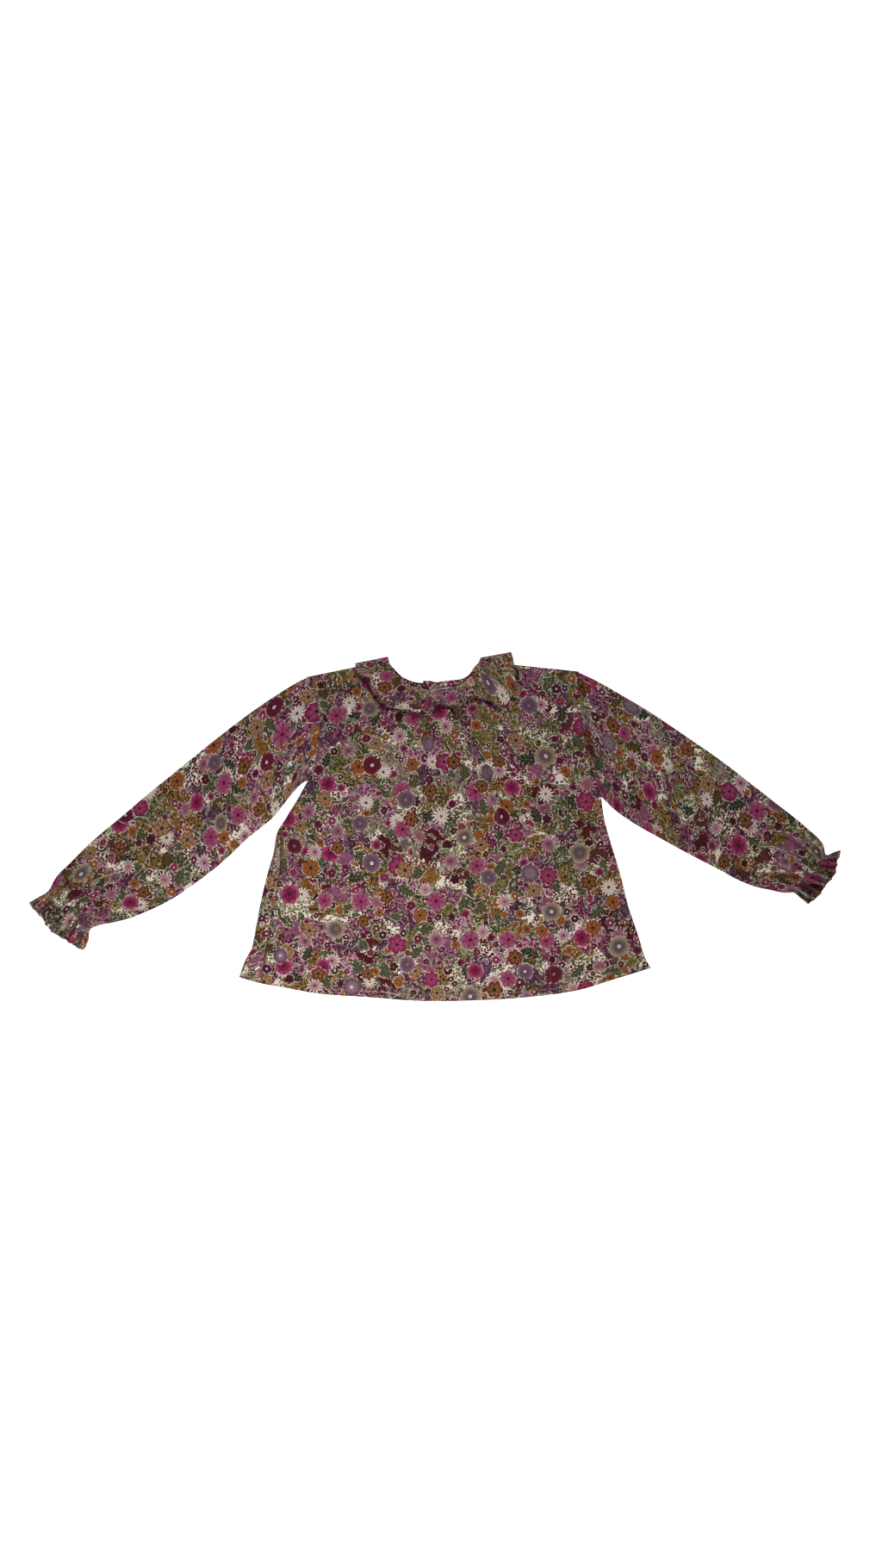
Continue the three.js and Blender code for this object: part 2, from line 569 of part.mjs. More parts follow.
// Sleeves
function sleeveSections(rows, armholeRows, side) {
  const armhole = curveOf(armholeRows);
  const first = {
    topX: armholeRows[0].x + side * ARMHOLE_CLEAR,
    topY: armholeRows[0].y,
    bottomX: armholeRows[armholeRows.length - 1].x + side * ARMHOLE_CLEAR,
    bottomY: armholeRows[armholeRows.length - 1].y,
    puff: 0,
  };
  const all = [first, ...rows];
  return all.map((row, index) => {
    const fade = smooth(1 - index / ARMHOLE_FADE);
    const frill = Math.max(0, index - ELASTIC_SECTION) / (LAST_SECTION - ELASTIC_SECTION);
    const bulge = FRILL_BULGE * frill;
    const before = all[Math.max(0, index - 1)];
    const out = new THREE.Vector2(
      row.topX + row.bottomX - before.topX - before.bottomX,
      row.topY + row.bottomY - before.topY - before.bottomY,
    ).normalize();
    const at = (across) => {
      const curved = armhole.getPointAt(across);
      const x0 = lerp(armholeRows[0].x, armholeRows[armholeRows.length - 1].x, across);
      const y0 = lerp(armholeRows[0].y, armholeRows[armholeRows.length - 1].y, across);
      const swell = bulge * Math.sin(Math.PI * across);
      return {
        x: lerp(row.topX, row.bottomX, across) + fade * (curved.x - x0) + swell * out.x,
        y: lerp(row.topY, row.bottomY, across) + fade * (curved.y - y0) + swell * out.y,
      };
    };
    return { ...row, at, index };
  });
}

function gatherHeight(section, sections, across) {
  const elastic = sections[ELASTIC_SECTION];
  const here = section.at(0.5);
  const there = elastic.at(0.5);
  const distance = Math.hypot(here.x - there.x, here.y - there.y);
  if (section.index > ELASTIC_SECTION) {
    const waves = WRIST_GATHERS.reduce((sum, g) => sum + smooth(1 - Math.abs(across - g.across) / g.wide), 0);
    return FRILL_WAVE_RISE * waves * Math.min(1, distance / FRILL_WAVE_REACH);
  }
  return WRIST_GATHERS.reduce((sum, g) => {
    const near = smooth(1 - distance / g.reach) * (distance < 1 ? ELASTIC_PRESS : 1);
    return sum + g.rise * near * smooth(1 - Math.abs(across - g.across) / g.wide);
  }, 0);
}

function upperLift(section, sections, folds, across) {
  const edge = Math.min(across, 1 - across);
  const place = section.at(across);
  const round = smooth(edge / SLEEVE_CROWN);
  const inside = smooth(edge / SLEEVE_FOLD_EDGE) * smooth(section.index / 1.5);
  const folded = foldHeight(folds, place.x, place.y) * inside;
  return Math.max(0, section.puff * round + folded + gatherHeight(section, sections, across));
}

function sleeveGeometry(rows, armholeRows, folds, side) {
  const sections = sleeveSections(rows, armholeRows, side);
  const middle = WALL + SEAM_GAP / 2;
  const outerRings = [];
  const innerRings = [];
  for (const section of sections) {
    const top = section.at(0);
    const bottom = section.at(1);
    const width = Math.hypot(bottom.x - top.x, bottom.y - top.y);
    const shoulder = SLEEVE_EDGE / width;
    const wallShare = WALL / width;
    const upper = [shoulder];
    for (let i = 1; i < SLEEVE_UPPER_STEPS; i += 1) upper.push(i / SLEEVE_UPPER_STEPS);
    upper.push(1 - shoulder);
    const lower = [1 - shoulder];
    for (let i = 1; i < SLEEVE_LOWER_STEPS; i += 1) lower.push(1 - i / SLEEVE_LOWER_STEPS);
    lower.push(shoulder);
    const pinch = (across) => wallShare + across * (1 - 2 * wallShare);
    const lift = (across) => upperLift(section, sections, folds, across);
    const point = (across, z) => {
      const place = section.at(across);
      return new THREE.Vector3(place.x, place.y, z);
    };
    outerRings.push([
      point(0, middle),
      ...upper.map((a) => point(a, 2 * WALL + SEAM_GAP + lift(a))),
      point(1, middle),
      ...lower.map((a) => point(a, 0)),
    ]);
    innerRings.push([
      point(wallShare, middle),
      ...upper.map((a) => point(pinch(a), WALL + SEAM_GAP + lift(a))),
      point(1 - wallShare, middle),
      ...lower.map((a) => point(pinch(a), WALL)),
    ]);
  }
  return tubeGeometry(outerRings, innerRings);
}

function tubeGeometry(outerRings, innerRings) {
  const count = outerRings[0].length;
  const rings = outerRings.length;
  const positions = [...outerRings.flat(), ...innerRings.flat()].flatMap((p) => [p.x, p.y, p.z]);
  const faces = [];
  const quad = (a, b, c, d) => faces.push(a, b, c, a, c, d);
  const outer = (i, j) => i * count + (j % count);
  const inner = (i, j) => rings * count + i * count + (j % count);
  for (let i = 0; i < rings - 1; i += 1) {
    for (let j = 0; j < count; j += 1) {
      quad(outer(i, j), outer(i, j + 1), outer(i + 1, j + 1), outer(i + 1, j));
      quad(inner(i, j), inner(i + 1, j), inner(i + 1, j + 1), inner(i, j + 1));
    }
  }
  for (let j = 0; j < count; j += 1) {
    quad(outer(0, j + 1), outer(0, j), inner(0, j), inner(0, j + 1));
    quad(outer(rings - 1, j), outer(rings - 1, j + 1), inner(rings - 1, j + 1), inner(rings - 1, j));
  }
  return outwardGeometry(positions, faces);
}

// Strips round the neck: a middle surface, thickened both ways along its normals
function stripGeometry(middle, wall) {
  const rows = middle.length;
  const columns = middle[0].length;
  const normalAt = (i, j) => {
    const along = middle[Math.min(rows - 1, i + 1)][j].clone().sub(middle[Math.max(0, i - 1)][j]);
    const across = middle[i][Math.min(columns - 1, j + 1)].clone().sub(middle[i][Math.max(0, j - 1)]);
    return along.cross(across).normalize();
  };
  const offset = (amount) => middle.map((line, i) => line.map((p, j) => (
    p.clone().addScaledVector(normalAt(i, j), amount)
  )));
  return solidFromGrids(offset(wall / 2), offset(-wall / 2));
}

function collarHeight(x, y, over) {
  const under = WALL / 2;
  const above = frontTop(x, y) + COLLAR_CLEAR + WALL / 2;
  return lerp(under, above, over);
}

function collarGeometry() {
  const inner = curveOf(COLLAR_SECTIONS.map((row) => ({ x: row.innerX, y: row.innerY, z: row.over })));
  const outer = curveOf(COLLAR_SECTIONS.map((row) => ({ x: row.outerX, y: row.outerY, z: row.over })));
  const rises = new THREE.CatmullRomCurve3(
    COLLAR_SECTIONS.map((row, index) => new THREE.Vector3(index, row.rise, 0)), false, 'centripetal',
  );
  const total = (COLLAR_SECTIONS.length - 1) * COLLAR_STEPS;
  const middle = [];
  for (let i = 0; i <= total; i += 1) {
    const from = inner.getPoint(i / total);
    const to = outer.getPoint(i / total);
    const rise = Math.max(0, rises.getPoint(i / total).y);
    const line = [];
    for (let j = 0; j <= COLLAR_ACROSS; j += 1) {
      const across = j / COLLAR_ACROSS;
      const x = lerp(from.x, to.x, across);
      const y = lerp(from.y, to.y, across);
      const over = lerp(from.z, to.z, across);
      const z = collarHeight(x, y, over) + rise * Math.pow(across, COLLAR_FLARE);
      line.push(new THREE.Vector3(x, y, z));
    }
    middle.push(line);
  }
  return stripGeometry(middle, WALL);
}

// The binding runs from the centre back along the left half of the back neck, round the shoulder,
// along the front, round the other shoulder and back, where its end laps over its start
function bindingGeometry() {
  const backCurve = curveOf(NECK_BACK);
  const frontCurve = curveOf(NECK_FRONT);
  const low = COLLAR_UNDER_HEIGHT + SEAM_GAP + BINDING_WALL / 2;
  const high = low + BINDING_WALL + BINDING_TURN_GAP;
  const lapShare = LAP_LENGTH / backCurve.getLength();
  const riseShare = LAP_RISE / backCurve.getLength();
  const stations = [];
  const add = (curve, share, z, lift) => {
    const p = curve.getPointAt(share);
    p.y += LAP_SHIFT * lift;
    stations.push({ p, away: awayFromNeck(curve, share), z: z + (BINDING_WALL + SEAM_GAP) * lift });
  };
  const turn = (curve, share, from, to) => {
    const radius = (high - low) / 2;
    for (let i = 1; i < TURN_STEPS; i += 1) {
      const angle = Math.PI * i / TURN_STEPS;
      const p = curve.getPointAt(share);
      p.y += radius * Math.sin(angle);
      const z = lerp(from, to, (1 - Math.cos(angle)) / 2);
      stations.push({ p, away: awayFromNeck(curve, share), z });
    }
  };
  for (let i = 0; i <= BINDING_STEPS; i += 1) add(backCurve, lerp(CENTRE_BACK, 0, i / BINDING_STEPS), low, 0);
  turn(backCurve, 0, low, high);
  for (let i = 0; i <= 2 * BINDING_STEPS; i += 1) add(frontCurve, i / (2 * BINDING_STEPS), high, 0);
  turn(backCurve, 1, high, low);
  for (let i = 0; i <= BINDING_STEPS; i += 1) {
    const share = lerp(1, CENTRE_BACK - lapShare, i / BINDING_STEPS);
    add(backCurve, share, low, smooth(1 - (share - CENTRE_BACK) / riseShare));
  }
  const across = [0, 0.5, 1];
  const middle = stations.map(({ p, away, z }) => across.map((t) => (
    new THREE.Vector3(p.x + away.x * BINDING_WIDTH * t, p.y + away.y * BINDING_WIDTH * t, z)
  )));
  return stripGeometry(middle, BINDING_WALL);
}

function buttonGeometry() {
  const radius = BUTTON_RADIUS;
  const profile = [
    new THREE.Vector2(0, 0),
    new THREE.Vector2(radius - 0.4, 0),
    new THREE.Vector2(radius, 0.4),
    new THREE.Vector2(radius, BUTTON_THICKNESS - 0.4),
    new THREE.Vector2(radius - 0.4, BUTTON_THICKNESS),
    new THREE.Vector2(0, BUTTON_THICKNESS),
  ];
  const geometry = new THREE.LatheGeometry(profile, BUTTON_SIDES);
  geometry.rotateX(Math.PI / 2);
  return geometry;
}

const printedCloth = { color: 0x73584f, roughness: 0.9, metalness: 0 };
const buttonShell = { color: 0xd8cfc2, roughness: 0.4, metalness: 0 };

const blouse = new THREE.Group();
blouse.name = 'blouse';

function addPiece(name, geometry, look) {
  const mesh = new THREE.Mesh(geometry, new THREE.MeshStandardMaterial(look));
  mesh.name = name;
  blouse.add(mesh);
  return mesh;
}

addPiece('back', backGeometry(), printedCloth);
addPiece('front', frontGeometry(), printedCloth);
const leftSleeve = sleeveGeometry(SLEEVE_LEFT_SECTIONS, ARMHOLE_LEFT, SLEEVE_LEFT_FOLDS, -1);
const rightArmhole = [...ARMHOLE_RIGHT].reverse();
const rightSleeve = sleeveGeometry(SLEEVE_RIGHT_SECTIONS, rightArmhole, SLEEVE_RIGHT_FOLDS, 1);
addPiece('sleeve_left', leftSleeve, printedCloth);
addPiece('sleeve_right', rightSleeve, printedCloth);
addPiece('ruffle_collar', collarGeometry(), printedCloth);
addPiece('neck_binding', bindingGeometry(), printedCloth);
const button = addPiece('back_neck_button', buttonGeometry(), buttonShell);
button.position.set(SLIT_X, BUTTON_Y, SEAM_GAP);

export default blouse;
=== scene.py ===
import math

import bpy
import numpy as np
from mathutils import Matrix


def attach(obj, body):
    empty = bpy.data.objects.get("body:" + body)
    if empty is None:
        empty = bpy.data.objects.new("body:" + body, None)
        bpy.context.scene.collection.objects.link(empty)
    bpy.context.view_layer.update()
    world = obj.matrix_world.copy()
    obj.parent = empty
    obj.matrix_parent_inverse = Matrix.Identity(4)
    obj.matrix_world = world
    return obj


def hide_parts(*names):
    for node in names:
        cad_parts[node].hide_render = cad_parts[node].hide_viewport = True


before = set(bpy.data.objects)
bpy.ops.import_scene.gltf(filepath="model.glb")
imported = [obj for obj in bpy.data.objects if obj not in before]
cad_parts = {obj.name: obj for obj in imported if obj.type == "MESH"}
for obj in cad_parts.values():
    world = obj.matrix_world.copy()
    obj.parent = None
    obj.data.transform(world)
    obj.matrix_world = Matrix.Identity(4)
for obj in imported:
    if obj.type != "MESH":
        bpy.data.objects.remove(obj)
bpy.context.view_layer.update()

MM = 0.001

# Camera: straight down over the picture's middle, which shows 1.024 by 1.820 m of the surface
IMAGE_HEIGHT_M = 1.820
CAMERA_TARGET = (0.0065, 0.0495)
CAMERA_DISTANCE = 3.0
SENSOR_MM = 36.0

# Light: a sun from the upper right, a low lamp by the hem, a dim sky and a table that glows white
KEY_ENERGY = 1.4
KEY_TURN = (-50, 0, -40)
KEY_SOFTNESS = 20
HEM_POWER = 1.65
HEM_LAMP_PLACE = (-0.11, -0.27, 0.5)
HEM_LAMP_TARGET = (-0.1, -0.24, 0)
HEM_LAMP_SIZE = (0.3, 0.25)
WORLD_STRENGTH = 0.1
FLOOR_GLOW = 0.85
FLOOR_HALF = 6.0
FLOOR_BELOW = 0.0004

# Print and weave
PRINT_CONTRAST = 1.22
PRINT_TINT = (1.18, 1.15, 1.06)
GOLD_SPACING = 20.5
WEAVE_PITCH = 0.34
REVERSE_SHARE = 0.5
# Where each piece lies on the print, in metres
SLEEVE_LEFT_ON_PRINT = (1.37, 0.21)
SLEEVE_RIGHT_ON_PRINT = (2.11, 0.63)
COLLAR_ON_PRINT = (0.31, 0.47)
BINDING_ON_PRINT = (0.83, 0.12)

# The solids' cloth and clearances, which the thin cloth here follows
SOLID_WALL = 1.0
SEAM_GAP = 0.3
HEM_WIDTH = 8.0
HEM_EXTRA = 0.4
HEM_STEP = 1.5
COLLAR_UNDER_HEIGHT = 1.6
COLLAR_REACH = 43.0
COLLAR_EASE = 34.0
NECK_STACK = 0.6
COLLAR_CLEAR = 0.8
COLLAR_FLARE = 1.3
FRONT_FULLNESS = 2.0
FULLNESS_REACH = 45.0
FOLD_AT_SEAM = 0.35
BINDING_WALL = 1.4
BINDING_WIDTH = 6.5
BINDING_TURN_GAP = 0.5
CENTRE_BACK = 0.46
LAP_LENGTH = 7.0
LAP_RISE = 10.0
LAP_SHIFT = 2.5
SLIT_X = -5.5
SLIT_LENGTH = 95.0
SLIT_HALF = 0.3

# Thin cloth and its seams
CLOTH = 0.42
SEAM_DIP = 0.8
LEFT_SEAM_DIP = 0.3
SEAM_DIP_REACH = 4.0
UNDER_SEAM_DIP = 0.22
EDGE_TURN = 4.5
EDGE_LOW = 0.95
# Rows of a seam allowance: how far out, how far inside
FRONT_ALLOWANCE = [(0.05, 0.2), (0.2, 0.36), (1.0, 0.42), (4.0, 0.42)]
BACK_ALLOWANCE = [(0.05, 0.0), (0.25, 0.0), (1.4, 0.0)]

# Front
FRONT_LOFT = 3.0
LOFT_REACH = 18.0
LEFT_ARMHOLE_REACH = 22.0
NECK_FLAT = 8.0
NECK_EASE = 34.0
CREASE_FADE = 6.0
SEAM_BULK = 1.6
SEAM_BULK_FROM_EDGE = 4.5
SEAM_BULK_HALF = 6.0
RUFFLE_PRESS = 3.2
RUFFLE_PRESS_REACH = 6.0
PLEAT_RISE = 1.6
PLEAT_SLOPE = 3.0

# Hem
HEM_TURN_RADIUS = 0.5
HEM_TURN_DEPTH = 6.5
HEM_STITCH = 6.6
HEM_GROOVE = 0.45
HEM_GROOVE_HALF = 1.1
HEM_PUCKER = 0.16
HEM_PUCKER_SLANT = 0.45
HEM_PUCKER_PITCHES = (1.35, 1.7, 9.0, 0.6, 0.4, 23.0, 1.0)

# Back: its roll to the front's left seam, its slack and its slit
ROLL_RADIUS = 1.12
ROLL_TURN_STEPS = 8
ROLL_LEG_STEPS = 12
ROLL_PUFF = 2.0
ROLL_SAG = 0.35
ROLL_LANDING = 5.8
ROLL_LANDING_EASE = 3.4
BACK_WAVE = 0.5
SLIT_TOP = 160.0
SLIT_STITCH = 2.2
SLIT_RIDGE = 0.1
SLIT_COLUMNS = 14

# Sleeves: rise of each head, how far from the armhole it starts, over what length
LEFT_HEAD = (0.7, 0.0, 8.0)
RIGHT_HEAD = (5.2, 3.0, 6.0)
HEAD_REACH = 50.0
SLEEVE_LOFT = 1.7
SLEEVE_LEAST_LIFT = -0.3
CUFF_LOFT = 1.3
CUFF_START = 8.5
WRIST_FULLNESS = 0.55
WRIST_FULLNESS_START = 7
WRIST_FULLNESS_RAMP = 4.5
CUFF_STITCH_ROWS = (-0.22, 0.16)
ELASTIC_PRESS = 0.45
ELASTIC_HALF = 3.2
EDGE_ROUND = 1.9

# Collar
COLLAR_LIFT = 1.3
COLLAR_DEPTH = 38.0
COLLAR_RIPPLE = 0.5
COLLAR_RIPPLE_PITCHES = (0.95, 1.3, 3.7, 0.7, 0.3, 11.0)
COLLAR_SEAM_EASE = 0.08

# Stitches
STITCH_SIDES = 6
STITCH_LENGTH = 2.3
STITCH_GAP = 0.7
STITCH_RADIUS = 0.26
FINE_STITCH = 0.8
HEM_ROW_STEPS = 240
SLIT_ROW_STEPS = 160
COLLAR_TURN_ROWS = 40
BINDING_STITCH = 5.3

# Button and binding
BUTTON_Y = 161.0
BUTTON_STRANDS = (-0.22, 0.0, 0.22)
BUTTON_THREAD_RADIUS = 0.12
BUTTON_SIDES = 64
BUTTON_HOLES = (-1.05, 1.05)
BUTTON_HOLE_RADIUS = 0.6
BUTTON_PROFILE = [
    (0.9, 0.46), (1.9, 0.44), (2.5, 0.3), (3.0, 0.08), (3.5, 0.0), (4.0, 0.06), (4.35, 0.3), (4.5, 0.7),
    (4.42, 1.1), (4.15, 1.4), (3.6, 1.5), (1.2, 1.5),
]
BINDING_STEPS = 60
BINDING_TURN_STEPS = 8
BINDING_SECTION = [
    (6.15, 0.28), (6.42, 0.36), (6.5, 0.5), (6.35, 0.62), (6.0, 0.66), (5.2, 0.6), (4.0, 0.68), (2.5, 0.7),
    (1.2, 0.7), (0.62, 0.68), (0.3, 0.58), (0.08, 0.36), (0.0, 0.0), (0.08, -0.36), (0.3, -0.58),
    (0.62, -0.68),
    (1.2, -0.7), (2.5, -0.7), (4.0, -0.68), (5.2, -0.6), (6.0, -0.66), (6.35, -0.62), (6.5, -0.5),
    (6.42, -0.36), (6.15, -0.28),
]

# Outline of the body: x, y
ARMHOLE_LEFT = [(-145.5, 174.5), (-137.5, 144.5), (-133.5, 114.5), (-137.5, 84.5), (-147.5, 54.5)]
SIDE_LEFT_FRONT = [
    (-147.5, 54.5), (-161.5, 29.5), (-174.5, 7.5), (-179.5, -12.0), (-180.5, -45.5),
    (-188.5, -93.5), (-194.5, -123.5), (-198.5, -150.0), (-203.5, -181.5),
]
SIDE_LEFT_BACK = [
    (-147.5, 54.5), (-161.5, 29.5), (-172.5, 11.5), (-183.5, -6.5), (-188.0, -30.5), (-196.5, -60.5),
    (-204.5, -96.5), (-211.0, -131.5), (-213.0, -140.5), (-221.5, -156.5), (-228.0, -175.0),
]
HEM_FRONT = [
    (-203.5, -181.5), (-175.5, -186.5), (-135.5, -193.5), (-75.5, -197.5), (-15.5, -201.7),
    (44.5, -201.0), (104.5, -197.5), (164.5, -189.5), (204.5, -177.5), (249.5, -164.0),
]
HEM_BACK = [
    (-228.0, -175.0), (-203.5, -181.8), (-175.5, -186.9), (-135.5, -193.9), (-75.5, -198.2),
    (-15.5, -202.5), (44.5, -201.8), (104.5, -198.2), (164.5, -190.2), (204.5, -178.2), (250.5, -164.0),
]
SIDE_RIGHT = [
    (250.5, -164.0), (244.5, -154.5), (235.5, -126.5), (223.5, -90.5),
    (214.5, -54.5), (203.5, -18.5), (195.5, 11.5), (192.5, 34.5),
]
ARMHOLE_RIGHT = [(192.5, 34.5), (178.5, 74.5), (170.5, 114.5), (166.5, 149.5), (162.5, 180.5)]
SHOULDER_LEFT = [(-56.5, 192.5), (-93.5, 185.5), (-129.5, 179.5), (-145.5, 174.5)]
SHOULDER_RIGHT = [(52.5, 191.5), (104.5, 188.5), (139.5, 187.5), (162.5, 180.5)]
NECK_FRONT = [
    (-56.5, 192.5), (-48.5, 179.5), (-35.5, 167.5), (-18.5, 160.5), (-0.5, 158.5),
    (16.5, 160.5), (32.5, 166.5), (43.5, 177.5), (52.5, 191.5),
]
NECK_BACK = [
    (-56.5, 192.5), (-48.5, 183.5), (-39.5, 174.5), (-25.5, 168.0), (-5.5, 166.5),
    (14.5, 169.5), (29.5, 171.0), (39.5, 176.5), (45.5, 185.5), (52.5, 191.5),
]
NECK_CENTRE = (-0.5, 179.5)
SHOULDER_BLEND = 0.16

# The solids' broad folds: x0, y0, x1, y1, half width at each end, rise at each end
FRONT_FOLDS = [
    (7, 140, 42, 0, 16, 40, 1.5, 0.2),
    (-8, 140, -9, 96, 7, 8, -0.8, 0),
    (24, 140, 86, -3, 8, 14, -1.0, 0),
    (-28, 138, -38, 10, 11, 24, 0.9, 0),
    (-56, 142, -88, 40, 12, 24, 0.9, 0),
    (-78, 156, -118, 92, 11, 20, 0.8, 0),
    (58, 138, 118, 22, 12, 24, 0.9, 0),
    (84, 150, 142, 84, 11, 20, 0.8, 0),
    (-141, 58, -172, -38, 12, 18, -0.7, 0),
    (176, 66, 178, -30, 12, 20, -0.7, 0),
    (-150, -185, -140, -60, 26, 18, 0.8, 0),
    (-60, -190, -52, -70, 24, 18, 0.7, 0),
    (60, -190, 48, -60, 26, 18, 0.8, 0),
    (165, -178, 135, -50, 24, 18, 0.7, 0),
]
SLEEVE_LEFT_FOLDS = [
    (-147, 98, -172, 50, 9, 12, -1.0, -0.6),
    (-158, 112, -196, 40, 14, 18, 0.9, 0.3),
    (-230, 96, -300, -20, 20, 24, 0.7, 0.3),
]
SLEEVE_RIGHT_FOLDS = [
    (160, 126, 243, 132, 9, 9, -0.9, -0.4),
    (176, 112, 246, 108, 14, 16, 0.9, 0.3),
    (184, 96, 196, 44, 9, 10, -0.8, -0.5),
    (300, 86, 330, -20, 20, 24, 0.7, 0.3),
]

# Sleeve sections: x, y of the edge towards the shoulder, x, y of the edge towards the hem, puff
SLEEVE_LEFT_SECTIONS = [
    (-160.5, 167.5, -156.5, 48.5, 1.0), (-189.5, 149.5, -168.5, 35.5, 1.6),
    (-222.5, 126.5, -187.5, 11.5, 1.9), (-262.5, 95.5, -216.5, -12.5, 1.8),
    (-299.5, 65.5, -248.5, -42.5, 1.7), (-336.5, 35.5, -279.5, -66.5, 1.8),
    (-364.5, 11.5, -306.5, -84.5, 1.8), (-386.5, -6.5, -330.5, -96.5, 1.7),
    (-406.5, -24.5, -355.5, -106.5, 1.5), (-424.5, -42.5, -375.5, -111.5, 1.2),
    (-439.5, -57.5, -390.5, -114.5, 0.8), (-449.5, -74.5, -400.5, -119.5, 0.2),
    (-460.0, -81.0, -402.5, -131.5, 0.8), (-470.5, -87.0, -407.0, -143.0, 1.3),
]
SLEEVE_RIGHT_SECTIONS = [
    (184.5, 170.5, 199.5, 27.5, 1.0), (216.5, 152.5, 210.5, 17.5, 1.6),
    (251.5, 131.5, 232.5, 2.5, 1.9), (291.5, 104.5, 264.5, -15.5, 1.8),
    (330.5, 77.5, 297.5, -33.5, 1.7), (364.5, 51.5, 326.5, -48.5, 1.8),
    (392.5, 29.5, 350.5, -61.5, 1.8), (414.5, 12.5, 370.5, -69.5, 1.7),
    (432.5, -2.5, 388.5, -73.5, 1.5), (444.5, -13.5, 402.5, -76.5, 1.2),
    (450.5, -21.5, 409.5, -77.0, 0.8), (453.5, -32.5, 415.5, -76.5, 0.2),
    (462.0, -29.5, 424.0, -83.0, 0.8), (469.5, -27.0, 432.5, -90.0, 1.3),
]
CUFF_SECTION = 10.4
ELASTIC_SECTION = 12
LAST_SECTION = 14
FRILL_BULGE = 7.5
ARMHOLE_FADE = 3
ARMHOLE_CLEAR = 0.48
SLEEVE_CROWN = 0.22
SLEEVE_FOLD_EDGE = 0.1

# Main gathers at each wrist: place across, half width (both as shares of the width), rise, reach
WRIST_GATHERS = [
    (0.10, 0.08, 1.1, 46), (0.24, 0.07, 1.4, 58), (0.38, 0.07, 1.2, 40), (0.51, 0.07, 1.5, 62),
    (0.65, 0.07, 1.2, 44), (0.78, 0.07, 1.4, 54), (0.91, 0.07, 1.0, 36),
]
# Lobes of each frill's edge: place across, half width, how far out
FRILL_LOBES_LEFT = [
    (0.03, 0.12, 1.5), (0.27, 0.12, -1.6), (0.50, 0.15, 1.0), (0.72, 0.10, -0.8), (0.93, 0.12, 1.0),
]
FRILL_LOBES_RIGHT = [
    (0.05, 0.10, 1.0), (0.19, 0.08, -0.9), (0.40, 0.15, 1.6), (0.63, 0.10, -1.0), (0.84, 0.14, 1.2),
]
FRILL_WAVE_RISE = 2.6
FRILL_WAVE_REACH = 15.0

# Collar sections: x, y of the seam edge, x, y of the free edge, 0 under the back to 1 on the
# front, rise of the free edge
COLLAR_SECTIONS = [
    (-12, 164.5, -14, 128.5, 0, 0.0), (-25.5, 166.0, -34, 130, 0, 0.6),
    (-38, 171.5, -58, 141, 0, 0.0), (-47, 180.0, -78, 158, 0, 0.6),
    (-54, 188.5, -90, 176, 0, 0.0), (-56.8, 195.4, -93.0, 187.8, 0.06, 0.0),
    (-55.5, 197.0, -93.5, 189.4, 0.5, 0.5), (-54.5, 195.4, -93.0, 187.8, 1.12, 0.0),
    (-53, 189.0, -90, 179, 1, 2.5), (-50.5, 185.0, -80.5, 172.5, 1, 4.5),
    (-46.5, 178.5, -72.5, 157.5, 1, 1.0), (-41, 172.5, -62.5, 144.5, 1, 4.5),
    (-34, 167.0, -51.5, 138.5, 1, 1.5), (-26.5, 163.0, -37, 135.5, 1, 5.0),
    (-19, 160.7, -24, 132.5, 1, 1.5), (-11, 159.0, -7.5, 129.5, 1, 5.5),
    (-5, 158.3, 2.0, 141.5, 1, 7.5), (3, 158.2, 15.5, 139.5, 1, 2.5),
    (10, 158.7, 21.5, 136.0, 1, 1.5), (17, 160.0, 31.5, 137.5, 1, 3.5),
    (23.5, 162.3, 38, 145.0, 1, 7.0), (29, 164.8, 45.5, 149.5, 1, 5.0),
    (34, 168.2, 53, 148.5, 1, 2.0), (38.2, 172.2, 62, 145.5, 1, 1.5),
    (42, 176.8, 77.5, 138.5, 1, 5.0), (45, 181.0, 87, 149.5, 1, 2.0),
    (47.5, 185.0, 92.5, 164.5, 1, 4.5), (49.5, 188.5, 92.5, 180, 1, 3.0),
    (51.5, 194.2, 89.5, 197, 1.1, 1.0), (52.5, 196.0, 87.5, 202.5, 0.5, 0.5),
    (53.5, 194.2, 88.0, 199, 0.06, 0.0), (50, 187.0, 85, 177, 0, 0.6),
    (44, 180.0, 75, 158, 0, 0.0), (37, 172.5, 56, 140, 0, 0.6),
    (22, 167.5, 31, 130, 0, 0.0), (1, 165.0, 3, 128.5, 0, 0.6),
]

